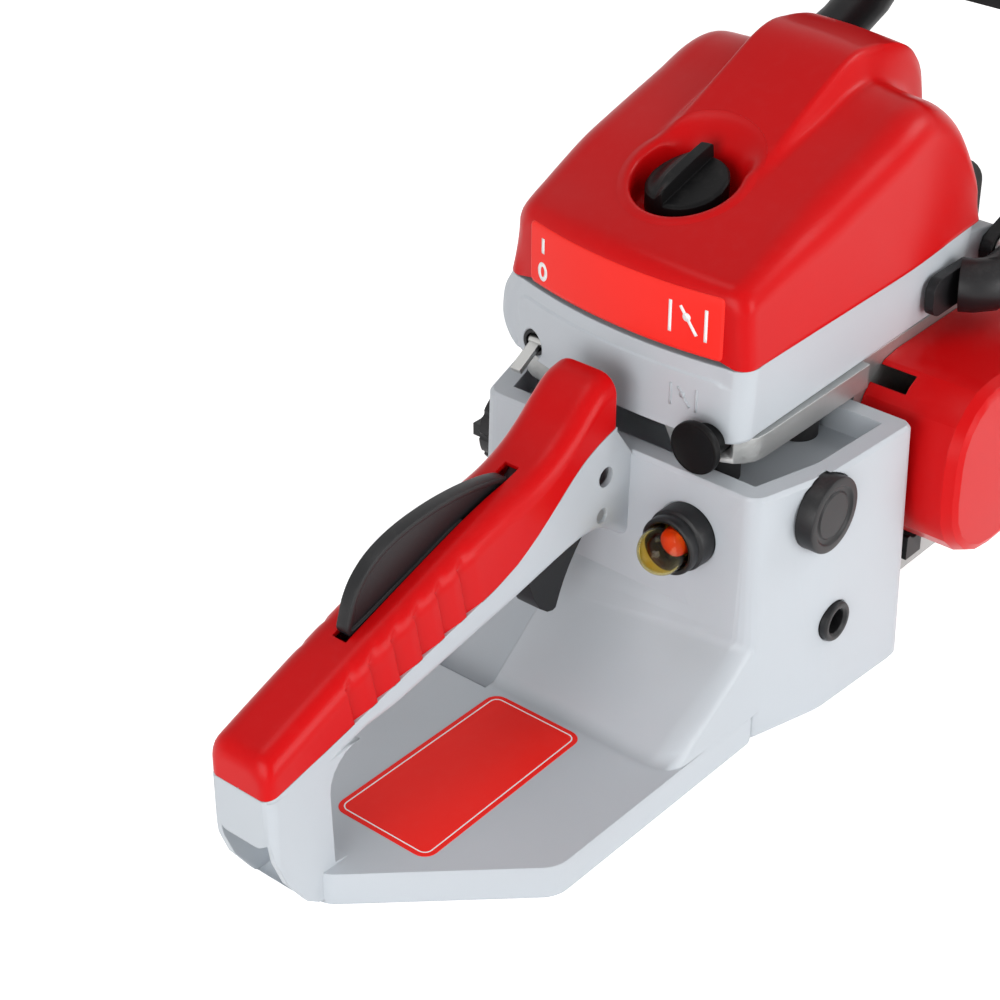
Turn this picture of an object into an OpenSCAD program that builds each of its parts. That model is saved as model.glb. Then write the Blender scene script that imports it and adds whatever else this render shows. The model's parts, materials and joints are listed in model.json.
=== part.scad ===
// Petrol chainsaw, 50 cc class. Millimetres. +X points to the bar tip, +Y to the operator's left, +Z up.
// x = 0 is the tank's rear wall, y = 0 the rear handle's centre plane, z = 0 the ground.

/* [Tank] */
// Length of the tank box, rear wall to front wall
tank_len = 96; // [90:1:100]
// Height of the tank's rim over the ground
tank_h = 118.5; // [112:0.5:122]
// Half width of the tank on the right at its rear wall
tank_right_rear = 79; // [74:1:83]
// Half width of the tank on the right where it is widest
tank_right = 93; // [89:1:97]
// Half width of the tank on the left at its rear wall
tank_left_rear = 63; // [60:1:68]
// Half width of the tank on the left where it is widest
tank_left = 79; // [74:1:84]
// Wall of the tank moulding
tank_wall = 3; // [2.4:0.2:4]
// Width of the rim round the tank's open top
rim_w = 10; // [7:1:12]
// Depth of the tray inside the rim
tray_depth = 12; // [8:1:16]

/* [Guard plate] */
// Height of the guard plate's upper face
guard_h = 15; // [12:0.5:18]
// Half width of the guard plate on the right
guard_right = 82; // [76:1:86]
// Half width of the guard plate on the left
guard_left = 20; // [17:1:26]
// Height at which the sloping web meets the tank wall
web_h = 59; // [50:1:66]
// Reach of the sloping web behind the tank wall
web_reach = 54; // [46:1:60]

/* [Rear handle] */
// Length of the rear handle behind the tank wall
grip_len = 214; // [206:1:224]
// Width of the grip
grip_w = 32; // [30:0.5:35]
// Wall of the two grip shells
grip_wall = 2.6; // [2:0.2:3.4]
// Rounding of the grip cover's upper edges
grip_round = 9; // [6:0.5:11]
// Number of finger grooves on each side of the grip cover
rib_count = 6; // [4:1:7]
// Depth of a finger groove
rib_depth = 1; // [0.6:0.1:1.4]

/* [Throttle] */
// Width of the lockout blade
blade_w = 6; // [5:0.5:7]
// Width of the throttle trigger
trigger_w = 12; // [9:0.5:14]
// Diameter of the trigger's and the lockout's pins
pin_d = 5; // [4:0.5:6]
// Running clearance on a pin's radius
pin_gap = 0.05; // [0.03:0.01:0.08]
// Clearance between a moving piece and its slot
slot_gap = 0.6; // [0.5:0.1:1]

/* [Primer] */
// Diameter of the primer's clear bulb
bulb_d = 20.4; // [18:0.2:22]
// Wall of the bulb
bulb_wall = 1.2; // [1:0.1:1.6]
// Diameter of the primer's ring
ring_d = 28; // [26.5:0.5:31]

/* [Upper housing] */
// Gap between the tank's rim and the crankcase flange
rim_gap = 3.8; // [3:0.2:5]
// Thickness of the crankcase flange
flange_t = 11; // [9:0.5:13]
// Half width of the intake housing on the right
house_right = 63.4; // [61:0.2:65]
// Half width of the intake housing on the left
house_left = 62; // [60:0.5:64]
// Height of the intake housing over the flange
house_h = 33.7; // [30:0.1:37]
// Wall of the intake housing
house_wall = 3; // [2.4:0.2:3.6]
// Wall of the top cover
cover_wall = 2.6; // [2.2:0.2:3]
// Height of the ridge along the top cover
hump_h = 15; // [11:0.5:18]
// Half width of the ridge
hump_w = 24; // [20:1:28]
// Diameter of the cover knob
knob_d = 36; // [32:1:40]
// Diameter of the choke knob's disc
choke_d = 23; // [20:0.5:25]

/* [Engine] */
// Distance of the crankshaft in front of the tank
crank_gap = 54; // [53:0.5:56]
// Height of the crankshaft
crank_z = 85; // [82:0.5:88]
// Bore of the cylinder
bore_d = 45; // [42:0.5:47]
// Stroke of the piston
stroke = 34; // [30:0.5:36]
// Number of cooling fins on the cylinder
fin_count = 9; // [6:1:10]
// Diameter of the crankshaft's journals
shaft_d = 15; // [14:0.5:16]
// Half width of the crankcase on the left
case_left = 61; // [60:0.5:63]
// Half width of the crankcase on the right
case_right = 60; // [58:0.5:61]
// Diameter of the flywheel
wheel_d = 82; // [76:1:84]
// Number of fan blades on the flywheel
blade_count = 18; // [12:1:22]

/* [Starter] */
// Outer half width at the starter cover's face
starter_y = 106; // [102:0.5:107]
// Wall of the starter cover
starter_wall = 2.8; // [2.2:0.2:3.4]
// Number of louvres round the starter's hub
louvre_count = 14; // [8:1:18]
// Length of the starter grip's crossbar
pull_len = 56; // [46:1:58]
// Diameter of the starter rope
rope_d = 3.5; // [3:0.1:4]

/* [Clutch] */
// Outer diameter of the clutch drum
drum_d = 72; // [68:1:74]
// Outer half width of the clutch cover
clutch_y = 112; // [109:0.5:116]
// Wall of the clutch cover
clutch_wall = 2.8; // [2.2:0.2:3.4]

/* [Bar and chain] */
// Distance of the bar's centre plane from the handle's centre plane
bar_y = 74; // [73:0.25:75]
// Thickness of the guide bar
bar_t = 4.4; // [4:0.1:5]
// Half the distance between three rivets of the chain
pitch = 8.255; // [8:0.005:8.6]
// Number of drive links
link_count = 64; // [56:4:72]
// Teeth on the rim sprocket
sprocket_teeth = 8; // [7:1:8]
// Teeth on the nose sprocket
nose_teeth = 12; // [10:1:12]
// Radius of the bar's bowed edges
bow_r = 3000; // [2200:100:6000]
// Thickness of a drive link
gauge = 1.3; // [1.1:0.1:1.5]
// Thickness of a tie strap
strap_t = 1.2; // [1:0.1:1.4]
// Diameter of the bar studs
stud_d = 8; // [7:0.5:9]

/* [Front handle] */
// Diameter of the front handle's tube
tube_d = 24; // [22:0.5:25]
// Height of the front handle's top bar
tube_top = 272; // [268:1:280]

/* [Hidden] */
$fn = 48;

tank_red = [0.78, 0.08, 0.06];
light_grey = [0.74, 0.77, 0.79];
casting_grey = [0.66, 0.67, 0.66];
black_plastic = [0.13, 0.13, 0.14];
steel_grey = [0.6, 0.61, 0.63];

// ---- helpers ----
function unit2(v) = v / norm(v);
function turn_of(u, w) = atan2(u[0] * w[1] - u[1] * w[0], u * w);
function rot2(v, a) = [v[0] * cos(a) - v[1] * sin(a), v[0] * sin(a) + v[1] * cos(a)];

// Outline through the corners p, each rounded to radius r[i], moved inwards by d, with n steps a corner
function rounded(p, r, d = 0, n = 5) = [
    for (i = [0:len(p) - 1])
        let (c = len(p),
             u = unit2(p[i] - p[(i + c - 1) % c]),
             w = unit2(p[(i + 1) % c] - p[i]),
             n1 = [-u[1], u[0]],
             n2 = [-w[1], w[0]],
             side = turn_of(u, w) < 0 ? -1 : 1,
             rad = max(is_list(r) ? r[i] : r, side * d + 0.3),
             centre = p[i] + side * rad * (n1 + n2) / (1 + n1 * n2))
        for (k = [0:n]) centre - side * (rad - side * d) * rot2(n1, turn_of(u, w) * k / n)
];
function box_corners(x0, y0, x1, y1) = [[x0, y0], [x1, y0], [x1, y1], [x0, y1]];
function lift(outline, z) = [for (q = outline) [q[0], q[1], z]];
function upright(outline, x) = [for (q = outline) [x, q[0], q[1]]];

// Closed solid through rings of equal count; each ring runs anticlockwise seen from the last ring's side
module skin(rings) {
    n = len(rings[0]);
    m = len(rings);
    polyhedron(
        points = [for (ring = rings) each ring],
        faces = concat(
            [[for (i = [0:n - 1]) i]],
            [for (k = [0:m - 2], i = [0:n - 1])
                [k * n + i, (k + 1) * n + (i + 1) % n, k * n + (i + 1) % n]],
            [for (k = [0:m - 2], i = [0:n - 1])
                [k * n + i, (k + 1) * n + i, (k + 1) * n + (i + 1) % n]],
            [[for (i = [0:n - 1]) (m - 1) * n + n - 1 - i]]));
}

// Height at x of the smooth curve through the points p, which run in order of x
function seg_of(p, x, i = 0) = i >= len(p) - 2 || x < p[i + 1][0] ? i : seg_of(p, x, i + 1);
function slope_at(p, i) =
    i <= 0 ? (p[1][1] - p[0][1]) / (p[1][0] - p[0][0]) :
    i >= len(p) - 1 ? (p[i][1] - p[i - 1][1]) / (p[i][0] - p[i - 1][0]) :
    (p[i + 1][1] - p[i - 1][1]) / (p[i + 1][0] - p[i - 1][0]);
function curve_at(p, x) =
    let (i = seg_of(p, x),
         h = p[i + 1][0] - p[i][0],
         t = (x - p[i][0]) / h)
    (1 + 2 * t) * (1 - t) * (1 - t) * p[i][1] + t * (1 - t) * (1 - t) * h * slope_at(p, i)
    + t * t * (3 - 2 * t) * p[i + 1][1] + t * t * (t - 1) * h * slope_at(p, i + 1);
function smooth(t) = let (c = max(0, min(1, t))) c * c * (3 - 2 * c);

// Smooth path through route points and a round tube along it
function path_point(p, i, t) =
    let (c = len(p) - 1,
         a = p[max(i - 1, 0)], b = p[i], d = p[min(i + 1, c)], e = p[min(i + 2, c)])
    0.5 * (2 * b + (d - a) * t + (2 * a - 5 * b + 4 * d - e) * t * t + (3 * b - a - 3 * d + e) * t * t * t);
function path_of(p, n) = concat(
    [for (i = [0:len(p) - 2], k = [0:n - 1]) path_point(p, i, k / n)], [p[len(p) - 1]]);
function unit3(v) = v / norm(v);
function ring_round(c, dir, r, sides) =
    let (ref = abs(dir[0]) < 0.9 ? [1, 0, 0] : [0, 1, 0],
         a = unit3(cross(dir, ref)),
         b = cross(dir, a))
    [for (k = [0:sides - 1]) c + r * (cos(360 * k / sides) * a + sin(360 * k / sides) * b)];
module tube(route, d, steps = 3, sides = 16) {
    p = path_of(route, steps);
    last = len(p) - 1;
    skin([for (i = [0:last]) ring_round(p[i], unit3(p[min(i + 1, last)] - p[max(i - 1, 0)]), d / 2, sides)]);
}

// Cylinders along X and Y, from the first place to the second
module rod_x(x0, x1, y, z, d) translate([x0, y, z]) rotate([0, 90, 0]) cylinder(d = d, h = x1 - x0);
module rod_y(x, y0, y1, z, d) translate([x, y0, z]) rotate([-90, 0, 0]) cylinder(d = d, h = y1 - y0);
// Side profile in x and z, given a thickness from y0 to y1
module side_plate(y0, y1) translate([0, y1, 0]) rotate([90, 0, 0]) linear_extrude(y1 - y0) children();
module face_plate(x0, x1) translate([x0, 0, 0]) rotate([90, 0, 90]) linear_extrude(x1 - x0) children();
module hex_y(x, y0, y1, z, af) translate([x, y0, z]) rotate([-90, 0, 0])
    cylinder(d = af / cos(30), h = y1 - y0, $fn = 6);

// ---- rear handle and tank ----
gx = grip_len / 214;
// the handle stands at one height with the tank's rim
rim_lift = tank_h - 118.5;
half_grip = grip_w / 2;
rear_x = -grip_len;
neck_x = -10;
// Side profile of the handle, rear to front: top, joint of the two shells, and underside
top_line = [for (p = [[-214, 80], [-208, 83], [-171, 97], [-138, 108.5], [-100, 121], [-80, 126.5],
    [-61, 130.5], [-48, 135.5], [-36, 143], [-27, 150.5], [-19, 156], [-10, 158]]) [p[0] * gx, p[1] + rim_lift]];
joint_line = [for (p = [[-214, 64], [-169, 74.5], [-118, 86.6], [-76, 97], [-58, 107], [-31, 126.5],
    [-10, 134], [0, 134]]) [p[0] * gx, p[1] + rim_lift]];
under_line = [for (p = [[-214, 40], [-190, 57], [-166, 66.5], [-145, 68.5], [-113, 74], [-73, 81],
    [-45, 86.6], [-27, 89], [-14, 86], [0, 76]]) [p[0] * gx, p[1] + rim_lift]];
grip_stations = [for (x = [-214, -213, -211, -208, -204, -190, -175, -160, -145, -130, -115, -100, -85, -72, -60, -48,
    -38, -30, -22, -15]) x * gx];
post_depth = 32;
post_front = rear_x + post_depth;
plate_rear = post_front - 7;
// the shells round in at the rear end
function end_round(x) = let (d = x - rear_x) d < 0.5 ? 3.6 : d < 2 ? 2 : d < 4 ? 0.8 : d < 8 ? 0.2 : 0;

function cover_section(x, inset) =
    let (top = curve_at(top_line, x) - inset - end_round(x),
         low = curve_at(joint_line, x),
         w = half_grip - inset - end_round(x),
         r = min(grip_round, top - low - 1))
    concat(
        [[-w, low], [w, low]],
        [for (k = [0:5]) [w - r + r * cos(18 * k), top - r + r * sin(18 * k)]],
        [for (k = [0:5]) [-w + r + r * cos(90 + 18 * k), top - r + r * sin(90 + 18 * k)]]);
function grip_section(x, inset, top_add = 0) =
    let (top = curve_at(joint_line, x) + top_add,
         low = curve_at(under_line, x) + inset,
         w = half_grip - inset - end_round(x),
         r = min(5, top - low - 1))
    concat(
        [[w, top], [-w, top]],
        [for (k = [0:4]) [-w + r + r * cos(180 + 22.5 * k), low + r + r * sin(180 + 22.5 * k)]],
        [for (k = [0:4]) [w - r + r * cos(270 + 22.5 * k), low + r + r * sin(270 + 22.5 * k)]]);

trigger_at = [-18.4, 95.5 + rim_lift];
lockout_at = [-66, 119 + rim_lift];
trigger_slot_x = [-60, -8];
blade_slot_x = [-158, -57];
deck_z = tank_h + rim_gap + flange_t;

// The plan of the tank at its rim, clockwise corners given anticlockwise
tank_plan = [[0, -tank_right_rear], [40, -tank_right + 3], [tank_len, -tank_right], [tank_len, tank_left],
    [42, tank_left - 3], [0, tank_left_rear]];
tank_rounds = [9, 40, 5, 5, 40, 9];
cavity_top = tank_h - tray_depth - tank_wall;
filler_x = tank_len - 50;
filler_z = 74;
filler_d = 40;
primer_y = -46.6;
primer_z = 91.2;
base_low = 8.8;
base_high = 14.8;
bulb_reach = 15;
plug_x = 36;
plug_z = 101.5;
plug_d = 34.5;
bush_x = 45;
bush_z = 44;
bush_d = 19;

module tank_shell() {
    difference() {
        skin([
            lift(rounded(tank_plan, tank_rounds, -1), 0),
            lift(rounded(tank_plan, tank_rounds, -3), 3),
            lift(rounded(tank_plan, tank_rounds, 0), tank_h - 2),
            lift(rounded(tank_plan, tank_rounds, 1.5), tank_h)]);
        // tray inside the rim
        translate([0, 0, tank_h - tray_depth]) linear_extrude(tray_depth + 1)
            polygon(rounded(tank_plan, tank_rounds, rim_w));
        // fuel space
        translate([0, 0, tank_wall]) linear_extrude(cavity_top - tank_wall)
            polygon(rounded(tank_plan, tank_rounds, rim_w - 0.6));
    }
}

foot_depth = 4;
pocket_rear = -57;
pocket_low = 5;
module guard_plate() {
    left = tank_left_rear - 2;
    outline = [[plate_rear, -17], [-127, -guard_right - 1], [1, -guard_right - 1], [1, left],
        [-60, left - 11], [-140, left - 27], [plate_rear, guard_left]];
    rounds = [12, 14, 0.5, 0.5, 20, 20, 6];
    difference() {
        skin([
            lift(rounded(outline, rounds, 0.4), 0),
            lift(rounded(outline, rounds, 0), 2),
            lift(rounded(outline, rounds, 0), guard_h - 3),
            lift(rounded(outline, rounds, 0.3), guard_h - 0.8),
            lift(rounded(outline, rounds, 0.45), guard_h)]);
        // ribbed relief of the underside
        translate([0, 0, -1]) linear_extrude(foot_depth + 1) difference() {
            polygon([[plate_rear + 8, -19], [-127, -guard_right + 5], [-4, -guard_right + 5],
                [-4, guard_left - 4], [plate_rear + 8, guard_left - 4]]);
            for (x = [-150, -112, -74, -36]) translate([x, -guard_right]) square([2.4, 2 * guard_right]);
            translate([-200, -34]) square([220, 2.4]);
        }
        // pocket on the left of the sloping web
        translate([pocket_rear, ridge_y + 0.6, pocket_low]) cube([-pocket_rear - 1, 35.4, guard_h]);
    }
    side_plate(ridge_y - 1, left - 6)
        polygon([[pocket_rear + 9, pocket_low - 1], [pocket_rear + 9, pocket_low + 2], [0, web_h - 19],
            [2, web_h - 19], [2, pocket_low - 1]]);
}

// Sloping web between the tank wall and the guard plate: reach and height as shares, on its right edge
ridge_y = 14;
web_line = [[1.03, 0], [0.92, 0.11], [0.76, 0.23], [0.58, 0.34], [0.41, 0.45], [0.24, 0.57], [0.09, 0.7],
    [0, 0.84], [-0.02, 1]];
function web_ring(reach, z) =
    let (share = max(0, (z - guard_h) / (web_h - guard_h)),
         right = guard_right - 3 * share,
         side = tank_right_rear + 4.4 - 2 * share)
    lift(rounded([[-web_reach * (1 - share), ridge_y], [-reach, -right], [9, -side], [9, ridge_y]],
        [1, 12 - 3 * share, 0.4, 0.4], 0), z);
module web() skin(concat(
    [web_ring(web_line[0][0] * web_reach, guard_h - 1)],
    [for (p = web_line) web_ring(p[0] * web_reach, guard_h + p[1] * (web_h - guard_h))]));

post_wall = 3.4;
module handle_post() {
    difference() {
        intersection() {
            side_plate(-half_grip, half_grip) polygon(concat(
                [[rear_x, 63 + rim_lift], [rear_x, 60 + rim_lift], [rear_x + 0.6, 46], [rear_x + 2.5, 34],
                    [rear_x + 7.5, 21], [rear_x + 17, 7], [rear_x + 23, 2.5], [rear_x + 30, 0]],
                [[post_front + 8, 0], [post_front + 8, guard_h], [post_front + 1, guard_h + 1]],
                [for (k = [0:6]) [post_front + 17 - 17 * cos(15 * k), 50 + rim_lift + 16.5 * sin(15 * k)]]));
            linear_extrude(120) polygon(rounded(
                box_corners(rear_x, -half_grip, post_front + 60, half_grip), [4.5, 0.4, 0.4, 4.5], 0));
        }
        // open pocket in the back of the post
        side_plate(-half_grip + post_wall, half_grip - post_wall) polygon([
            [rear_x - 1, screw_low - 10], [screw_x + 8, screw_low - 10], [screw_x + 8, 6], [rear_x - 1, 6]]);
        side_plate(-half_grip + post_wall, half_grip - post_wall) polygon([
            [rear_x - 1, screw_low + 8], [rear_x + 7, screw_low], [screw_x + 8, screw_low],
            [screw_x + 8, screw_low - 11], [rear_x - 1, screw_low - 11]]);
    }
}

module grip_floor() {
    // lower shell of the handle: a trough that the grip cover closes
    difference() {
        union() {
            skin([for (x = concat(grip_stations, [neck_x, -5, 0.5])) upright(grip_section(x, 0), x)]);
            handle_post();
        }
        skin([for (x = concat([for (s = grip_stations) if (s > rear_x + 5) s], [neck_x]))
            upright(grip_section(x, grip_wall, 0.01), x)]);
        // the neck falls to the tank's rim in front of the grip cover
        side_plate(-half_grip - 1, half_grip + 1)
            polygon([[neck_x + 0.3, tank_h + 42], [neck_x + 0.3, tank_h + 13.5], [0, tank_h], [5, tank_h],
                [5, tank_h + 42]]);
    }
}

module pin_bosses(at, x_size) {
    // two bosses on the shell's inner sides that hold a pin
    for (s = [-1, 1]) mirror([0, s < 0 ? 1 : 0, 0])
        rod_y(at[0], trigger_w / 2 + slot_gap, half_grip - grip_wall + 0.5, at[1], pin_d + x_size);
}

module tank_housing() color(light_grey) {
    difference() {
        union() {
            tank_shell();
            guard_plate();
            web();
            difference() {
                grip_floor();
                // opening for the trigger
                translate([trigger_slot_x[0], -trigger_w / 2 - slot_gap, 60 + rim_lift])
                    cube([trigger_slot_x[1] - trigger_slot_x[0], trigger_w + 2 * slot_gap, 40]);
            }
            intersection() {
                pin_bosses(trigger_at, 5);
                translate([0, 0, rim_lift]) side_plate(-half_grip, half_grip)
                    polygon([[-60, 88], [-27, 91], [-9, 88], [-9, 134], [-60, 104]]);
            }
        }
        // pin bore, screw hole and their access holes
        rod_y(trigger_at[0], -half_grip - 1, half_grip + 1, trigger_at[1], pin_d);
        rod_y(trigger_at[0], -half_grip - 1, -half_grip + 1.5, trigger_at[1], 7);
        rod_y(trigger_at[0] + 2, -half_grip - 1, -half_grip + grip_wall + 1, trigger_at[1] + 17.8, 9);
        translate([screw_x, 0, screw_low - 1]) cylinder(d = 4.2, h = 40);
        // primer seat, filler neck, plug and bush seats
        rod_x(-6, 0, primer_y, primer_z, ring_d + 0.8);
        rod_x(-1, 7, primer_y, primer_z, ring_d - 4);
        rod_y(filler_x, tank_left - 20, tank_left + 4, filler_z, filler_d - 6);
        rod_y(plug_x, -tank_right - 4, -tank_right + 7.5, plug_z, plug_d);
        rod_y(bush_x, -tank_right - 4, -tank_right + 7, bush_z, bush_d);
    }
}

// Finger grooves: each ends in a step at its rear and runs out forwards
rib_step = 12.85 * gx;
rib_len = 8.6;
rib_lean = 5.5;
module finger_grooves() for (k = [0:rib_count - 1], s = [-1, 1]) mirror([0, s < 0 ? 1 : 0, 0])
    let (x = -105 * gx - k * rib_step)
    translate([x, 0, curve_at(joint_line, x) - 3]) rotate([0, -rib_lean, 0]) linear_extrude(50)
        polygon([[0, half_grip - rib_depth], [rib_len, half_grip + 0.2], [rib_len, half_grip + 2],
            [0, half_grip + 2]]);
function open_below(q, joint) = [q[0], q[1] < joint + 0.1 ? q[1] - 0.1 : q[1]];

module grip_cover() color(tank_red) {
    inner = concat([for (s = grip_stations) if (s > rear_x + 5) s], [neck_x - grip_wall]);
    difference() {
        skin([for (x = concat(grip_stations, [neck_x])) upright(cover_section(x, 0), x)]);
        skin([for (x = inner)
            upright([for (q = cover_section(x, grip_wall)) open_below(q, curve_at(joint_line, x))], x)]);
        // slot for the lockout blade
        translate([blade_slot_x[0], -blade_w / 2 - slot_gap, 95 + rim_lift])
            cube([blade_slot_x[1] - blade_slot_x[0], blade_w + 2 * slot_gap, 60]);
        finger_grooves();
    }
    // screw boss, and ears for the lockout pin
    difference() {
        translate([screw_x, 0, screw_low + 23.6])
            cylinder(d = 9, h = curve_at(top_line, screw_x) - screw_low - 25);
        translate([screw_x, 0, screw_low + 19]) cylinder(d = 4.2, h = 17.2);
    }
    for (s = [-1, 1]) mirror([0, s < 0 ? 1 : 0, 0]) difference() {
        side_plate(blade_w / 2 + slot_gap, blade_w / 2 + slot_gap + 4)
            polygon([[lockout_at[0] - 12, curve_at(top_line, lockout_at[0] - 12) - 1.5],
                [lockout_at[0] - 4, lockout_at[1] - 6], [lockout_at[0] + 4, lockout_at[1] - 6],
                [lockout_at[0] + 12, curve_at(top_line, lockout_at[0] + 12) - 1.5]]);
        rod_y(lockout_at[0], 0, half_grip, lockout_at[1], pin_d - 1);
    }
}

module throttle_lockout() color(black_plastic) {
    outline = concat(
        [[-63, 114], [-57.8, 122], [-58.5, 133.5], [-66, 136.5], [-80, 139.5], [-104, 139], [-125.6, 137.5],
            [-140.5, 132.7], [-149.2, 124.5], [-155, 112], [-156.6, 104], [-150, 102.5], [-120, 111.5],
            [-90, 120.5], [-76, 117]]);
    difference() {
        translate([0, 0, rim_lift]) side_plate(-blade_w / 2, blade_w / 2) polygon(outline);
        rod_y(lockout_at[0], -blade_w, blade_w, lockout_at[1], pin_d - 1 + 2 * pin_gap);
    }
}
module lockout_pin() color(steel_grey)
    rod_y(lockout_at[0], -blade_w / 2 - slot_gap - 4, blade_w / 2 + slot_gap + 4, lockout_at[1], pin_d - 1);

module throttle_trigger() color(black_plastic) {
    front = [for (k = [0:6]) let (t = k / 6) [-12.5 - 23 * t - 5 * sin(180 * t) * 0.6, 88 - 33.5 * t]];
    difference() {
        translate([0, 0, rim_lift]) side_plate(-trigger_w / 2, trigger_w / 2) polygon(concat(
            [[-13.5, 96], [-15.5, 99.5], [-19, 101], [-30, 100], [-46, 92], [-50, 84], [-53, 74]],
            [[-50, 66], [-46, 59], [-41, 55], [-37.5, 54]],
            [for (k = [6:-1:0]) front[k]]));
        rod_y(trigger_at[0], -trigger_w, trigger_w, trigger_at[1], pin_d + 2 * pin_gap);
        // hollow back
        translate([0, 0, rim_lift]) side_plate(-trigger_w / 2 + 2, trigger_w / 2 - 2)
            polygon([[-31, 101], [-47, 93], [-51, 84], [-48, 72], [-38, 62], [-28, 80]]);
    }
}
module trigger_pin() color(steel_grey)
    rod_y(trigger_at[0], -half_grip + 1, half_grip - 1, trigger_at[1], pin_d);

screw_x = rear_x + 18;
screw_low = 41 + rim_lift;
module grip_screw() color(steel_grey) translate([screw_x, 0, 0]) union() {
    translate([0, 0, screw_low - 3]) cylinder(d = 8, h = 3);
    translate([0, 0, screw_low - 1]) cylinder(d = 4.2, h = 37);
}

// ---- primer ----
module primer_base() color(black_plastic) difference() {
    union() {
        rod_x(-base_low, 0, primer_y, primer_z, ring_d);
        rod_x(-base_high, -base_low, primer_y, primer_z, ring_d - 2.4);
        rod_x(0, 6.5, primer_y, primer_z, ring_d - 4);
    }
    rod_x(-base_high - 1, 4.5, primer_y, primer_z, bulb_d + 0.6);
}
module primer_bulb() color([0.85, 0.8, 0.35, 0.5])
    translate([-3, primer_y, primer_z]) rotate([0, -90, 0]) difference() {
    union() {
        cylinder(d = bulb_d, h = bulb_reach);
        translate([0, 0, bulb_reach]) sphere(d = bulb_d);
    }
    translate([0, 0, -1]) cylinder(d = bulb_d - 2 * bulb_wall, h = bulb_reach + 1);
    translate([0, 0, bulb_reach]) sphere(d = bulb_d - 2 * bulb_wall);
    translate([0, 0, -bulb_d]) cylinder(d = 2 * bulb_d, h = bulb_d);
}
module primer_valve() color([0.9, 0.2, 0.1]) union() {
    rod_x(-5, 4.5, primer_y, primer_z, 8);
    rod_x(-8, -5, primer_y, primer_z, 11);
}

// ---- tank fittings ----
module cap_y(x, y, z, d, bar) {
    // round cap with a grip bar, facing +Y; y is its seat
    difference() {
        union() {
            rod_y(x, y, y + 9, z, d);
            rod_y(x, y - 10, y, z, d - 8);
            translate([x - d / 2 + 3, y + 9, z - 3]) cube([d - 6, bar, 6]);
        }
        for (a = [0:30:330]) rod_y(x + (d / 2 + 1) * cos(a), y + 2, y + 10, z + (d / 2 + 1) * sin(a), 4);
    }
}
filler_seat = tank_left - 1;
module fuel_cap() color(black_plastic) cap_y(filler_x, filler_seat + 2.5, filler_z, filler_d, 6);
module mount_plugs() color(black_plastic) {
    rod_y(plug_x, -tank_right - 0.8, -tank_right + 7.5, plug_z, plug_d - 1);
    difference() {
        rod_y(bush_x, -tank_right - 1.5, -tank_right + 7, bush_z, bush_d - 1);
        rod_y(bush_x, -tank_right - 2, -tank_right + 5, bush_z, bush_d - 8);
    }
}
flange_z = tank_h + rim_gap;
module rubber_mounts() color(black_plastic)
    for (p = [[25, -43], [25, 38], [tank_len - 21, -48], [tank_len - 21, 44]])
        translate([p[0], p[1], tank_h - tray_depth]) cylinder(d = 18, h = tray_depth + rim_gap);

// ---- crankcase ----
house_x = 9;
crank_x = tank_len + crank_gap;
case_rear = tank_len + 3;
case_front = crank_x + 78;
// The rear face of the upper housing bows out to the rear and stands back on the left
bow_depth = 4.3;
bow_y = -17.2;
function rear_face(y) = house_x + 1 - bow_depth + 0.00215 * (y - bow_y) * (y - bow_y);
flange_plan = [[house_x + 1, -house_right - 1], [case_rear + 4, -house_right - 1],
    [case_rear + 4, case_left], [house_x + 8, case_left]];
bearing_d = 32;
module crankcase() color(casting_grey) {
    difference() {
        union() {
            // flange that carries carburettor and intake housing
            translate([0, 0, flange_z]) linear_extrude(flange_t)
                polygon(rounded(flange_plan, [15, 1, 1, 15], 0));
            // main casting
            side_plate(-case_right, case_left) polygon(rounded(
                [[case_rear, 0], [case_front - 16, 0], [case_front, 30], [case_front, 84],
                    [house_front + 1, flange_z], [house_front + 1, deck_z], [case_rear, deck_z]],
                [4, 12, 12, 10, 8, 3, 3], 0));
            // bar pad
            side_plate(-bar_y + bar_t / 2, -case_right + 1) polygon(rounded(
                box_corners(crank_x + 30, crank_z - 20, case_front - 2, crank_z + 20), 6, 0));
        }
        // crank chamber, mouth of the cylinder, bearing seats
        rod_y(crank_x, -24, 24, crank_z, 74);
        translate([crank_x, 0, crank_z]) cylinder(d = bore_d + 8, h = 100);
        rod_y(crank_x, -case_right - 20, case_left + 20, crank_z, shaft_d + 4);
        for (s = [-1, 1]) rod_y(crank_x, s > 0 ? 24 - 1 : -36, s > 0 ? 36 : -24 + 1, crank_z, bearing_d);
        // oil space
        translate([case_front - 46, -40, 6]) cube([34, 80, 30]);
        rod_y(case_front - 28, case_left - 30, case_left + 1, 30, 22);
        // carburettor mouth in the flange and passage for the pump worm
        translate([30, -22, flange_z - 1]) cube([34, 44, flange_t + 2]);
        rod_y(crank_x, -case_right - 1, -case_right + 6, crank_z, 30);
        rod_x(0, 34, choke_y, choke_z, 16);
        // gap between the flange's two rear feet
        face_plate(0, 31) polygon([[-27.5, flange_z - 1], [18, flange_z - 1], [18, deck_z + 1],
            [-20.5, deck_z + 1]]);
        for (x = stud_xs) rod_y(x, -bar_y, -case_right + 18, crank_z, stud_d);
        for (x = foot_screws) rod_y(x, case_left - 12, case_left + 1, foot_z, 5);
    }
}
stud_xs = [crank_x + 47, crank_x + 69];

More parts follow.
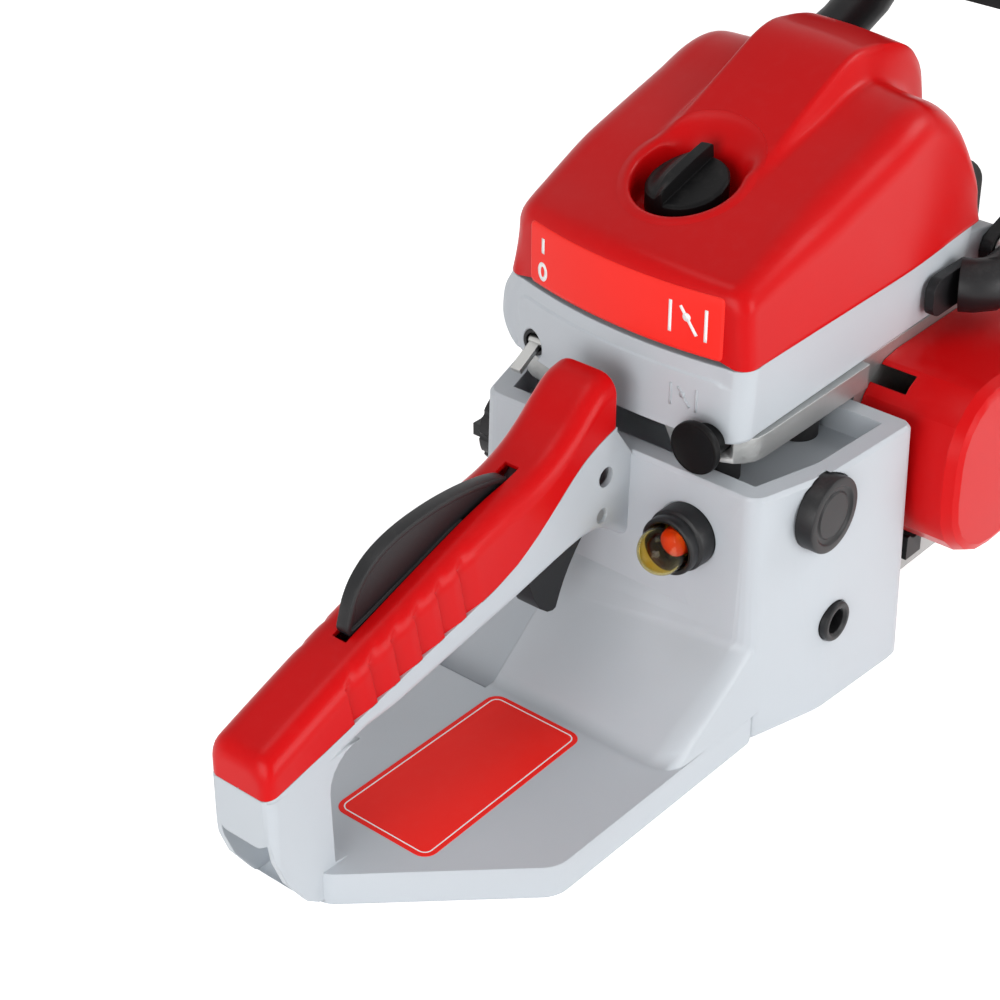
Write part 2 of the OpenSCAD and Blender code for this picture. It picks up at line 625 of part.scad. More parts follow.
module crank_bearings() color(steel_grey)
    for (y0 = [-36, 24]) difference() {
        rod_y(crank_x, y0, y0 + 12, crank_z, bearing_d);
        rod_y(crank_x, y0 - 1, y0 + 13, crank_z, shaft_d + 2 * pin_gap);
    }
shaft_left = 86;
shaft_right = -106;
module crankshaft() color(steel_grey) union() {
    rod_y(crank_x, shaft_right, -20, crank_z, shaft_d);
    rod_y(crank_x, 20, shaft_left, crank_z, shaft_d);
    for (s = [-1, 1]) side_plate(s > 0 ? 12 : -20, s > 0 ? 20 : -12) difference() {
        translate([crank_x, crank_z]) circle(d = 70);
        translate([crank_x + 18, crank_z + 12]) square([30, 40]);
        translate([crank_x - 48, crank_z + 12]) square([30, 40]);
    }
    rod_y(crank_x, -13, 13, crank_z + stroke / 2, 11);
}

// ---- cylinder and piston ----
cyl_base = deck_z;
piston_h = 34;
piston_top = crank_z + stroke / 2 + 88;
cyl_top = piston_top + 16;
module cylinder_barrel() {
    translate([crank_x, 0, crank_z + 38]) cylinder(d = bore_d + 7.4, h = cyl_base - crank_z - 38 + 1);
    translate([crank_x, 0, cyl_base]) cylinder(d = bore_d + 10, h = cyl_top - cyl_base);
}
module engine_cylinder() color(casting_grey) {
    fin_step = (cyl_top - cyl_base - 10) / (fin_count - 0.5);
    difference() {
        union() {
            cylinder_barrel();
            for (k = [0:fin_count - 1]) translate([crank_x, 0, cyl_base + 8 + k * fin_step])
                linear_extrude(2) polygon(rounded(box_corners(-38, -44, 34, 44), 14, k > fin_count - 3 ? 2 : 0));
            translate([crank_x - 36, -28, cyl_base]) cube([69, 56, 5]);
            // intake and exhaust ports
            rod_x(crank_x - 44, crank_x, 0, intake_z, 30);
            rod_x(crank_x, port_x, 0, exhaust_z, 28);
        }
        translate([crank_x, 0, crank_z + 37])
            cylinder(d = bore_d + 2 * pin_gap, h = piston_top - crank_z - 37 + 1.5);
        rod_x(crank_x - 45, crank_x, 0, intake_z, 18);
        rod_x(crank_x, port_x + 1, 0, exhaust_z, 20);
        translate([crank_x, 0, piston_top]) cylinder(d = 12, h = 40);
    }
}
module piston() color(steel_grey) difference() {
    translate([crank_x, 0, piston_top - piston_h]) cylinder(d = bore_d, h = piston_h);
    translate([crank_x, 0, piston_top - piston_h - 1]) cylinder(d = bore_d - 7, h = piston_h - 4);
    rod_y(crank_x, -bore_d, bore_d, piston_top - 20, 9);
    for (k = [0, 4]) translate([crank_x, 0, piston_top - 6 - k]) difference() {
        cylinder(d = bore_d + 2, h = 1.4);
        translate([0, 0, -1]) cylinder(d = bore_d - 3, h = 4);
    }
}
module spark_plug() color(steel_grey) union() {
    translate([crank_x, 0, piston_top + 4]) cylinder(d = 12, h = cyl_top - piston_top - 4);
    translate([crank_x, 0, cyl_top]) cylinder(d = 19 / cos(30), h = 7, $fn = 6);
    translate([crank_x, 0, cyl_top + 7]) cylinder(d = 9, h = 12);
}
module plug_boot() color(black_plastic) difference() {
    union() {
        translate([crank_x, 0, cyl_top + 8]) cylinder(d = 17, h = 17);
        translate([crank_x, 0, cyl_top + 18]) rotate([-90, 0, 0]) cylinder(d = 10, h = 26);
    }
    translate([crank_x, 0, cyl_top + 6]) cylinder(d = 9, h = 13);
}

// ---- intake side ----
intake_z = cyl_base + 30;
carb_x = [34, 74];
module carburettor() color(casting_grey) union() {
    translate([carb_x[0], -20, cyl_base]) difference() {
        cube([carb_x[1] - carb_x[0], 40, 48]);
        translate([-1, 20, intake_z - cyl_base]) rotate([0, 90, 0]) cylinder(d = 20, h = 80);
    }
    rod_y((carb_x[0] + carb_x[1]) / 2, -26, -20, intake_z, 16);
}
module air_filter() color([0.85, 0.83, 0.75]) difference() {
    translate([carb_x[0] - 14, -34, cyl_base + 12]) cube([14, 62, 44]);
    rod_x(carb_x[0] - 8, carb_x[0] + 1, 0, intake_z, 20);
}
module intake_manifold() color(black_plastic) difference() {
    union() {
        translate([carb_x[1], -20, intake_z - 18]) cube([5, 40, 36]);
        rod_x(carb_x[1], crank_x - 44, 0, intake_z, 30);
    }
    rod_x(carb_x[1] - 1, crank_x - 43, 0, intake_z, 20);
}

house_front = crank_x + 46;
// hand guard's pivot
pivot_x = house_front + 10;
pivot_z = deck_z + 16.7;
guard_pin_d = 8;
ear_y = 50;
ear_t = 8.6;
arm_out = 65;
function guard_eye(from, to) = [for (k = [0:6]) let (a = from + (to - from) * k / 6)
    [pivot_x + 9 * cos(a), pivot_z + 9 * sin(a)]];
exhaust_z = cyl_base + 17;
port_x = crank_x + 34;
cover_z = deck_z + house_h;
// Plan of the intake housing, moved inwards by d
function house_plan(d) = concat(
    [for (k = [0:8]) let (y = house_left - 9 - (house_left + house_right - 19) * k / 8)
        [rear_face(y) + d, y]],
    [for (k = [0:4]) let (a = 200 + 17.5 * k)
        [rear_face(-house_right + 10) + 9.4 + (10 - d) * cos(a), -house_right + 10 + (10 - d) * sin(a)]],
    let (front = rounded([[house_x, -house_right], [house_front, -house_right + 4], [house_front, house_left - 4],
        [house_x, house_left]], 16, d))
    [for (i = [6:17]) front[i]],
    [for (k = [0:4]) let (a = 95 + 17.5 * k)
        [rear_face(house_left - 9) + 9.4 + (9 - d) * cos(a), house_left - 9 + (9 - d) * sin(a)]]);
choke_y = -49;
choke_z = deck_z;
switch_y = 49.5;
switch_z = deck_z + 6.2;
switch_x = rear_face(switch_y);
panel_t = 0.8;
flare_w = 9;
module intake_housing() color(light_grey) difference() {
    union() {
        translate([0, 0, deck_z]) linear_extrude(house_h) polygon(house_plan(0));
        // raised panel on the rear face
        intersection() {
            translate([0, 0, deck_z]) linear_extrude(house_h) polygon(house_plan(-panel_t));
            face_plate(0, house_x + 16) polygon(rounded(
                box_corners(-house_right + 6, deck_z, house_left - 4, cover_z - 6.5), [1, 1, 8, 8], 0));
        }
        // skirt that flares out over the switch on the left
        skin([for (p = [[16, 0.1], [20, 0.7], [28, 1], [house_front - 104, 1], [house_front - 99, 0.8]])
            let (y = house_left - 2)
            [[p[0], y - 2, cover_z - 2], [p[0], y - 2, deck_z + 9], [p[0], y + 1 + flare_w * p[1], deck_z + 9],
                [p[0], y + flare_w * p[1], deck_z + 12], [p[0], y + 0.5, cover_z - 2]]]);
        // ears that carry the hand guard
        for (s = [-1, 1]) mirror([0, s < 0 ? 1 : 0, 0]) side_plate(ear_y, ear_y + ear_t) polygon(concat(
            [[house_front - 12, pivot_z - 14]], guard_eye(-90, 90), [[house_front - 12, pivot_z + 14]]));
    }
    translate([0, 0, deck_z - 1]) linear_extrude(cover_z) polygon(house_plan(house_wall));
    rod_x(0, 30, choke_y, choke_z, 16);
    rod_x(0, 30, switch_y, switch_z, 12);
    rod_y(pivot_x, -ear_y - ear_t - 1, ear_y + ear_t + 1, pivot_z, guard_pin_d);
    translate([house_front - 10, -26, flange_z]) cube([20, 52, cover_z - flange_z + 1]);
}

// Heights of the top cover's left and right shoulders over its lower edge, along x
left_line = [[10, 33.5], [20, 38.5], [30, 42.5], [45, 48.5], [62, 55], [86, 62], [110, 68.5], [133, 75],
    [148, 74], [170, 61], [185, 41], [196, 19]];
right_line = [[10, 33.5], [20, 36.5], [30, 39.5], [45, 44], [62, 48.5], [86, 55.5], [110, 62], [133, 68.5],
    [148, 68], [170, 56], [185, 37], [196, 17]];
cover_len = house_front - house_x - 1;
// Place along the 186 mm of the lists, for a place along the cover
function list_x(x) = 10 + (x - house_x - 1) * 186 / cover_len;
function place_x(t) = house_x + 1 + (t - 10) * cover_len / 186;
function hump_at(x) = let (t = list_x(x)) hump_h * smooth((t - 60) / 45) * smooth((198 - t) / 34);
function cover_half(x) = house_right - 0.5 - 4 * smooth((list_x(x) - 120) / 80);
function shoulder_at(x, y) =
    let (t = list_x(x),
         share = smooth((y / cover_half(x) + 1) / 2))
    cover_z + curve_at(right_line, t) * (1 - share) + curve_at(left_line, t) * share;
function cover_height(x, y) =
    let (w = cover_half(x) - 12)
    shoulder_at(x, y) + 6 * (1 - (y / w) * (y / w)) + hump_at(x) * smooth((hump_w + 7 - abs(y)) / 9);
function cover_ring(x, inset, low) =
    let (w = cover_half(x),
         r = 12,
         sr = shoulder_at(x, -w),
         sl = shoulder_at(x, w))
    concat(
        [[-w + inset + 0.2, low], [w - inset - 0.2, low]],
        [for (k = [0:4]) [w - r - 0.2 + (r - inset) * cos(22.5 * k), sl - r + (r - inset) * sin(22.5 * k)]],
        [for (k = [1:15]) let (y = (w - r) * (1 - k / 8)) [y, cover_height(x, y) - inset]],
        [for (k = [0:4])
            [-w + r + (r - inset) * cos(90 + 22.5 * k), sr - r + (r - inset) * sin(90 + 22.5 * k)]]);
// Ring of the cover at x, bowed as the rear face is
function bowed(ring, x) = let (part = 1 - smooth((x - house_x - 1) / 60))
    [for (q = ring) [x + (rear_face(max(-60, min(60, q[0]))) - house_x - 1) * part, q[0], q[1]]];
cover_stations = [for (t = [10, 11.2, 14, 19, 26, 34, 44, 54, 64, 74, 84, 94, 104, 114, 126, 138, 150, 161, 171,
    180, 188, 194]) place_x(t)];
function end_inset(x) = let (t = list_x(x)) t < 10.5 ? 6 : t < 12 ? 3 : t < 15 ? 0.8 : t > 193 ? 4 : 0;
knob_x = 55;
knob_y = 1;
seat_z = cover_z + 36;
module top_cover() color(tank_red) difference() {
    union() {
        difference() {
            skin([for (x = cover_stations) bowed(cover_ring(x, end_inset(x), cover_z), x)]);
            skin([for (x = cover_stations) if (list_x(x) > 12 && list_x(x) < 192)
                bowed(cover_ring(x, cover_wall + end_inset(x), cover_z - 1), x)]);
        }
        intersection() {
            skin([for (x = cover_stations) bowed(cover_ring(x, end_inset(x), cover_z), x)]);
            translate([knob_x, knob_y, seat_z - cover_wall]) cylinder(d = knob_d + 11 + 2 * cover_wall, h = 60);
        }
    }
    translate([knob_x, knob_y, seat_z]) cylinder(d = knob_d + 11, h = 60);
    translate([knob_x, knob_y, seat_z - 10]) cylinder(d = 9, h = 20);
}
module cover_knob() color(black_plastic) union() {
    translate([knob_x, knob_y, seat_z + 0.3]) cylinder(d = knob_d, h = 12);
    translate([knob_x - knob_d / 2 + 1, knob_y - 3.5, seat_z + 12]) cube([knob_d - 2, 7, 7]);
    translate([knob_x, knob_y, seat_z - 16]) cylinder(d = 8.4, h = 17);
}
module choke_knob() color(black_plastic) union() {
    rod_x(-3, 1.5, choke_y, choke_z, choke_d);
    rod_x(1, 16, choke_y, choke_z, 15);
    rod_x(15, 32, choke_y, choke_z, 4);
}
toggle_x = switch_x + 3.5;
module stop_switch() color(black_plastic) difference() {
    rod_x(switch_x + 1, switch_x + 17, switch_y, switch_z, 11.9);
    rod_x(switch_x - 1, switch_x + 11, switch_y, switch_z, 9);
}
module switch_toggle() color(steel_grey)
    translate([toggle_x, switch_y, switch_z]) rotate([0, -30, 0]) union() {
    translate([-17, -2.6, -1.2]) cube([17, 5.2, 2.4]);
    rod_y(0, -3.5, 3.5, 0, 4.6);
}

// ---- ignition and flywheel ----
wheel_y = case_left + 4;
coil_gap = 0.6;
module ignition_coil() color(black_plastic) difference() {
    translate([crank_x - 20, case_left, crank_z + wheel_d / 2 + coil_gap]) cube([40, 14, 24]);
    rod_y(crank_x, case_left - 1, case_left + 16, crank_z, wheel_d + 2 * coil_gap);
}
module flywheel() color(casting_grey) difference() {
    union() {
        rod_y(crank_x, wheel_y, wheel_y + 9, crank_z, wheel_d);
        rod_y(crank_x, wheel_y, wheel_y + 16, crank_z, 30);
        for (k = [0:blade_count - 1])
            translate([crank_x, wheel_y + 9, crank_z]) rotate([0, 360 * k / blade_count, 0])
            translate([21, 0, -1.2]) rotate([0, 14, 0]) cube([wheel_d / 2 - 24, 8, 2.4]);
    }
    rod_y(crank_x, wheel_y - 1, wheel_y + 20, crank_z, shaft_d);
}

// ---- exhaust ----
muffler_x = house_front + 2;
module muffler() color([0.35, 0.34, 0.33]) difference() {
    union() {
        translate([muffler_x, 0, exhaust_z]) rotate([90, 0, 90]) linear_extrude(38)
            polygon(rounded(box_corners(-36, -19, 36, 22), 8, 0));
        rod_x(port_x, muffler_x + 1, 0, exhaust_z, 28);
        rod_x(muffler_x + 37, muffler_x + 44, 18, exhaust_z + 8, 16);
    }
    translate([muffler_x + 2, 0, exhaust_z]) rotate([90, 0, 90]) linear_extrude(34)
        polygon(rounded(box_corners(-34, -17, 34, 20), 6, 0));
    rod_x(port_x - 1, muffler_x + 3, 0, exhaust_z, 20);
    rod_x(muffler_x + 35, muffler_x + 45, 18, exhaust_z + 8, 11);
}

// ---- starter ----
starter_low = 33;
starter_high = deck_z + 26.7;
starter_plan = [[case_rear + 1, starter_low], [house_front - 1, starter_low], [house_front - 1, starter_high],
    [case_rear + 1, starter_high]];
starter_rounds = [46, 46, 16, 16];
function side_ring(outline, y) = [for (i = [len(outline) - 1:-1:0]) [outline[i][0], y, outline[i][1]]];
pulley_y = shaft_left + 2;
pulley_r = 22;
rope_x = crank_x + pulley_r + rope_d / 2 + 0.5;
rope_y = pulley_y + 5;
module starter_cover() color(tank_red) {
    face = starter_y;
    difference() {
        skin([
            side_ring(rounded(starter_plan, starter_rounds, 0), case_left),
            side_ring(rounded(starter_plan, starter_rounds, 0), face - 12),
            side_ring(rounded(starter_plan, starter_rounds, 1.5), face - 5),
            side_ring(rounded(starter_plan, starter_rounds, 5), face - 1.2),
            side_ring(rounded(starter_plan, starter_rounds, 8), face)]);
        skin([
            side_ring(rounded(starter_plan, starter_rounds, starter_wall), case_left - 1),
            side_ring(rounded(starter_plan, starter_rounds, starter_wall), face - 12),
            side_ring(rounded(starter_plan, starter_rounds, starter_wall + 5), face - starter_wall)]);
        // louvres round the hub
        for (k = [0:louvre_count - 1])
            translate([crank_x, face - 8, crank_z]) rotate([0, 360 * k / louvre_count + 6, 0])
            translate([19, 0, -2.2]) rotate([0, 12, 0]) cube([22, 10, 4.4]);
        translate([rope_x, rope_y, starter_high - 6]) cylinder(d = rope_d + 2.5, h = 10);
    }
    rod_y(crank_x, pulley_y, face - starter_wall + 0.5, crank_z, 10);
}
module starter_pulley() color(black_plastic) difference() {
    rod_y(crank_x, pulley_y, pulley_y + 10, crank_z, 2 * pulley_r + 8);
    translate([crank_x, pulley_y + 5, crank_z]) rotate([-90, 0, 0]) rotate_extrude()
        translate([pulley_r + rope_d / 2 + 1, 0]) square([8, rope_d + 1.5], center = true);
    rod_y(crank_x, pulley_y - 1, pulley_y + 11, crank_z, 10 + 2 * pin_gap);
    for (a = [0:90:270]) rod_y(crank_x + 13 * cos(a), pulley_y - 1, pulley_y + 4, crank_z + 13 * sin(a), 8);
}
grip_z = starter_high + 5;
module starter_rope() color([0.85, 0.85, 0.82])
    translate([rope_x, rope_y, crank_z + 8]) cylinder(d = rope_d, h = grip_z - crank_z - 8);
module starter_grip() color(black_plastic) translate([rope_x, rope_y, grip_z]) difference() {
    union() {
        translate([0, 0, 9]) rotate([0, 90, 0]) linear_extrude(pull_len, center = true)
            polygon(rounded(box_corners(-9, -8, 7, 8), 5, 0));
        cylinder(d1 = 12, d2 = 17, h = 6);
    }
    for (s = [-1, 1]) translate([s * pull_len / 4, 0, 20]) rotate([90, 0, 0]) cylinder(d = 10, h = 30, center = true);
}

// ---- clutch ----
drum_y = -bar_y - 8;
drum_wall = 1.2;
shoe_gap = 0.6;
function sector(r_in, r_out, from, to, n = 10) = concat(
    [for (k = [0:n]) let (a = from + (to - from) * k / n) [r_out * cos(a), r_out * sin(a)]],
    [for (k = [n:-1:0]) let (a = from + (to - from) * k / n) [r_in * cos(a), r_in * sin(a)]]);
shoe_in = 24;
shoe_span = 52;
module clutch_hub() color(steel_grey) translate([crank_x, 0, crank_z]) difference() {
    union() {
        rod_y(0, drum_y - 17, drum_y - 2, 0, 26);
        for (a = [0:120:240]) side_plate(drum_y - 16, drum_y - 3) union() {
            rotate(a) translate([0, -5]) square([shoe_in + 3, 10]);
            polygon(sector(shoe_in, drum_d / 2 - drum_wall - shoe_gap, a - shoe_span, a + shoe_span));
        }
    }
    rod_y(0, drum_y - 18, drum_y, 0, shaft_d);
}
module clutch_drum() color(steel_grey) difference() {
    rod_y(crank_x, drum_y - 18, drum_y, crank_z, drum_d);
    rod_y(crank_x, drum_y - 19, drum_y - 1.5, crank_z, drum_d - 2 * drum_wall);
    rod_y(crank_x, drum_y - 20, drum_y + 1, crank_z, 20);
}

// ---- chain path: two circles joined by two bowed edges ----
r1 = pitch * sprocket_teeth / PI;
r2 = pitch * nose_teeth / PI;
loop_len = 2 * pitch * link_count;
function bow_bx(len) = let (a = bow_r - r1, b = bow_r - r2) (a * a - b * b + len * len) / (2 * len);
function bow_h(len) = sqrt(pow(bow_r - r1, 2) - pow(bow_bx(len), 2));
function bow_a1(len) = atan2(bow_h(len), -bow_bx(len));
function bow_a2(len) = atan2(bow_h(len), len - bow_bx(len));
function rad(a) = a * PI / 180;
function loop_of(len) = let (a1 = bow_a1(len), a2 = bow_a2(len))
    2 * bow_r * rad(a1 - a2) + 2 * r2 * rad(a2) + 2 * r1 * rad(180 - a1);
function solve_len(len, n) = n == 0 ? len : solve_len(len + (loop_len - loop_of(len)) / 2, n - 1);
bar_reach = solve_len((loop_len - PI * (r1 + r2)) / 2, 6);
a1 = bow_a1(bar_reach);
a2 = bow_a2(bar_reach);
bx = bow_bx(bar_reach);
bh = bow_h(bar_reach);
s_top = bow_r * rad(a1 - a2);
s_nose = 2 * r2 * rad(a2);
s_tail = 2 * r1 * rad(180 - a1);
// Place on the path at length s, d outside it, measured from the sprocket's centre
function on_arc(c, r, a, d) = [c[0] + (r + d) * cos(a), c[1] + (r + d) * sin(a)];
function path_at(s0, d = 0) = let (s = s0 - loop_len * floor(s0 / loop_len))
    s < s_top ? on_arc([bx, -bh], bow_r, a1 - s / bow_r * 180 / PI, d) :
    s < s_top + s_nose ? on_arc([bar_reach, 0], r2, a2 - (s - s_top) / r2 * 180 / PI, d) :
    s < 2 * s_top + s_nose ? on_arc([bx, bh], bow_r, -a2 - (s - s_top - s_nose) / bow_r * 180 / PI, d) :
    on_arc([0, 0], r1, -a1 - (s - 2 * s_top - s_nose) / r1 * 180 / PI, d);
s_start = 2 * s_top + s_nose + s_tail / 2;
// Puts a link on the path, with its two rivets on it
module on_chain(s) let (p = path_at(s_start + s - pitch / 2), q = path_at(s_start + s + pitch / 2))
    translate([crank_x + (p[0] + q[0]) / 2, -bar_y, crank_z + (p[1] + q[1]) / 2])
        rotate([0, -atan2(q[1] - p[1], q[0] - p[0]), 0]) children();
rail = 3.9;
groove_w = gauge + 0.3;
groove_depth = 6.5;
tail_x = r1 + 7;
function bar_outline(d, steps = 40) = concat(
    [for (k = [0:steps]) let (p = path_at(s_top * k / steps, -d)) [p[0], p[1]]],
    [for (k = [1:16]) let (p = path_at(s_top + s_nose * k / 17, -d)) [p[0], p[1]]],
    [for (k = [0:steps]) let (p = path_at(s_top + s_nose + s_top * k / steps, -d)) [p[0], p[1]]]);
nose_gap = 0.15;
module guide_bar() color(steel_grey) translate([crank_x, 0, crank_z]) difference() {
    side_plate(-bar_y - bar_t / 2, -bar_y + bar_t / 2) intersection() {
        polygon(bar_outline(rail));
        polygon(rounded([[tail_x, -r1 + rail + 1], [tail_x + 60, -60], [bar_reach + 60, -60], [bar_reach + 60, 60],
            [tail_x + 60, 60], [tail_x, r1 - rail - 1]], [5, 0.1, 0.1, 0.1, 0.1, 5], 0));
    }
    side_plate(-bar_y - groove_w / 2, -bar_y + groove_w / 2) difference() {
        polygon(bar_outline(0));
        polygon(bar_outline(rail + groove_depth));
    }
    rod_y(bar_reach, -bar_y - groove_w / 2, -bar_y + groove_w / 2, 0, 2 * (r2 - 3.2) + 0.6);
    side_plate(-bar_y - bar_t, -bar_y + bar_t) hull() {
        translate([stud_xs[0] - crank_x - 6, 0]) circle(d = stud_d + 0.4);
        translate([stud_xs[1] - crank_x + 6, 0]) circle(d = stud_d + 0.4);
    }
    for (s = [-1, 1]) rod_y(tail_x + 9, -bar_y - bar_t, -bar_y + bar_t, s * 11, 5);
    rod_y(bar_reach, -bar_y - bar_t, -bar_y + bar_t, 0, 9.6);
}
// Gaps between a sprocket's teeth, each a little wider than a drive link's tang
module tang_gaps(teeth, r) for (k = [0:teeth - 1]) rotate(360 * k / teeth)
    polygon([[r - 9.6, -1.7], [r - 6.8, -3.8], [r - 3.2, -6.1], [r + 4, -6.3], [r + 4, 6.3], [r - 3.2, 6.1],
        [r - 6.8, 3.8], [r - 9.6, 1.7]]);
module nose_sprocket() color(steel_grey) translate([crank_x + bar_reach, 0, crank_z]) {
    // turned so that its gaps stand at the drive links
    s_mid = s_top + s_nose / 2 - s_start;
    phase = (s_mid / (2 * pitch) - round(s_mid / (2 * pitch))) * 360 / nose_teeth;
    side_plate(-bar_y - gauge / 2, -bar_y + gauge / 2) difference() {
        circle(r = r2 - 3.2);
        rotate(phase) tang_gaps(nose_teeth, r2);
    }
    rod_y(0, -bar_y - bar_t / 2, -bar_y + bar_t / 2, 0, 9.5);
}
module rim_sprocket() color(steel_grey) translate([crank_x, 0, crank_z]) difference() {
    union() {
        for (y = [-bar_y - 4.6, -bar_y + 1.1]) rod_y(0, y, y + 3.5, 0, 2 * (r1 - rail - 0.3));
        side_plate(-bar_y - 1.2, -bar_y + 1.2) difference() {
            circle(r = r1 - rail - 0.3);
            rotate(180) tang_gaps(sprocket_teeth, r1);
        }
        rod_y(0, drum_y - 1.5, -bar_y + 4.6, 0, 20);
    }
    rod_y(0, drum_y - 3, -bar_y + 6, 0, 19);
}
module drum_bearing() color(steel_grey) difference() {
    rod_y(crank_x, drum_y - 1.4, -bar_y + 4.5, crank_z, 19);
    rod_y(crank_x, drum_y - 3, -bar_y + 6, crank_z, shaft_d + 2 * pin_gap);
}
module pump_worm() color(black_plastic) difference() {
    rod_y(crank_x, -case_right - 6, -case_right + 5, crank_z, 26);
    rod_y(crank_x, -case_right - 7, -case_right + 6, crank_z, shaft_d + 2 * pin_gap);
}
module brake_band() color(steel_grey) translate([crank_x, drum_y - 15, crank_z]) rotate([-90, 0, 0]) rotate([0, 0, 20])
    rotate_extrude(angle = 300) translate([drum_d / 2 + 0.8, 0]) square([1.2, 12]);

// ---- saw chain ----
rivet_d = 3.4;
drive_shape = [[-7.2, -1.2], [-6.6, 2], [-4.6, 3.3], [-1.8, 2.6], [1.8, 2.6], [4.6, 3.3], [6.6, 2], [7.2, -1.2],
    [5.6, -3.2], [3.2, -6.4], [1.2, -8.6], [-1.2, -8.6], [-3.2, -6.4], [-5.6, -3.2]];
strap_shape = [[-7.4, 0.5], [-6.2, 3], [-4, 3.5], [0, 2.7], [4, 3.5], [6.2, 3], [7.4, 0.5], [6.6, -2.6],
    [4.6, -3.4], [-4.6, -3.4], [-6.6, -2.6]];
cutter_shape = [[-7.4, 0.5], [-6.9, 4.5], [-5.6, 8.8], [1.4, 9.4], [1.2, 6.5], [2.4, 4.8], [3.6, 4.6], [4.2, 8.6],
    [6.6, 8.3], [7.6, 3.5], [7.4, 0.5], [6.6, -2.6], [4.6, -3.4], [-4.6, -3.4], [-6.6, -2.6]];
link_gap = 0.05;
strap_in = gauge / 2 + link_gap;
strap_out = strap_in + strap_t;
module rivets() for (x = [-pitch / 2, pitch / 2]) rod_y(x, -strap_out - 0.5, strap_out + 0.5, 0, rivet_d);
module chain_drive_links() color([0.5, 0.5, 0.52])
    for (k = [0:link_count - 1]) on_chain(2 * pitch * k) side_plate(-gauge / 2, gauge / 2) difference() {
        polygon(drive_shape);
        for (x = [-pitch / 2, pitch / 2]) translate([x, 0]) circle(d = rivet_d + 0.4);
    }
module chain_straps() color([0.55, 0.55, 0.57])
    for (k = [0:link_count - 1]) if (k % 2 == 1) on_chain(2 * pitch * (k + 0.5)) union() {
        side_plate(strap_in, strap_out) polygon(strap_shape);
        side_plate(-strap_out, -strap_in) polygon(strap_shape);
        rivets();
    }
module chain_cutters() color([0.7, 0.66, 0.5])
    for (k = [0:2:link_count - 1])
        on_chain(2 * pitch * (k + 0.5)) mirror([0, k % 4 == 0 ? 1 : 0, 0]) union() {
        side_plate(strap_in, strap_out) polygon(cutter_shape);
        side_plate(-strap_out, -strap_in) polygon(strap_shape);
        side_plate(-gauge / 2 - 0.2, strap_out) polygon([[-5.6, 7.8], [-5.4, 8.8], [1.4, 9.4], [1.4, 8.2]]);
        rivets();
    }

// ---- clutch cover, studs, nuts ----
clutch_plan = [[case_rear + 2, crank_z - 43], [case_front - 6, crank_z - 41], [case_front, crank_z + 30],
    [case_front - 30, crank_z + 43], [case_rear + 2, crank_z + 43]];
clutch_rounds = [38, 10, 10, 8, 30];
bar_face = -bar_y - bar_t / 2;
module clutch_cover() color(tank_red) difference() {
    union() {
        difference() {
            skin([
                side_ring(rounded(clutch_plan, clutch_rounds, 5), -clutch_y),
                side_ring(rounded(clutch_plan, clutch_rounds, 2), -clutch_y + 1.5),
                side_ring(rounded(clutch_plan, clutch_rounds, 0), -clutch_y + 6),
                side_ring(rounded(clutch_plan, clutch_rounds, 0), -case_right - 0.3)]);
            skin([
                side_ring(rounded(clutch_plan, clutch_rounds, clutch_wall + 3), -clutch_y + clutch_wall),
                side_ring(rounded(clutch_plan, clutch_rounds, clutch_wall), -clutch_y + 7),
                side_ring(rounded(clutch_plan, clutch_rounds, clutch_wall), -case_right + 2)]);
            // the chain runs out at the front and the chips fall out below
            translate([case_rear + 12, bar_face - 2, 20]) cube([160, 40, crank_z + 43 - clutch_wall - 20]);
        }
        for (x = stud_xs) rod_y(x, -clutch_y + clutch_wall - 0.5, bar_face, crank_z, 17);
    }
    for (x = stud_xs) {
        rod_y(x, -clutch_y - 1, bar_face + 1, crank_z, stud_d + 0.6);
    }
}
module bar_studs() color(steel_grey)
    for (x = stud_xs) rod_y(x, -clutch_y - 9, -case_right + 18, crank_z, stud_d);
module bar_nuts() color(steel_grey)
    for (x = stud_xs) difference() {
        union() {
            hex_y(x, -clutch_y - 8, -clutch_y - 1.6, crank_z, 13);
            rod_y(x, -clutch_y - 2, -clutch_y, crank_z, 18);
        }
        rod_y(x, -clutch_y - 10, -clutch_y + 1, crank_z, stud_d);
    }

// ---- front end ----
module bumper_spike() color([0.2, 0.2, 0.2])
    translate([case_front, 0, 0]) translate([0, -52, 0]) side_plate(0, 3) polygon([
        [0, 40], [0, 92], [6, 96], [15, 94], [8, 88], [7, 82], [16, 79], [8, 74], [7, 68], [16, 64], [8, 60], [7, 53],
        [15, 49], [8, 44], [6, 38]]);
module chain_catcher() color(black_plastic) difference() {
    translate([case_rear + 24, -case_right - 20, 30]) cube([12, 20, 12]);
    translate([case_rear + 30, -case_right - 21, 44]) rotate([-90, 0, 0]) cylinder(d = 9, h = 15);
}
module oil_cap() color(black_plastic) cap_y(case_front - 28, case_left + 1.5, 30, 30, 5);

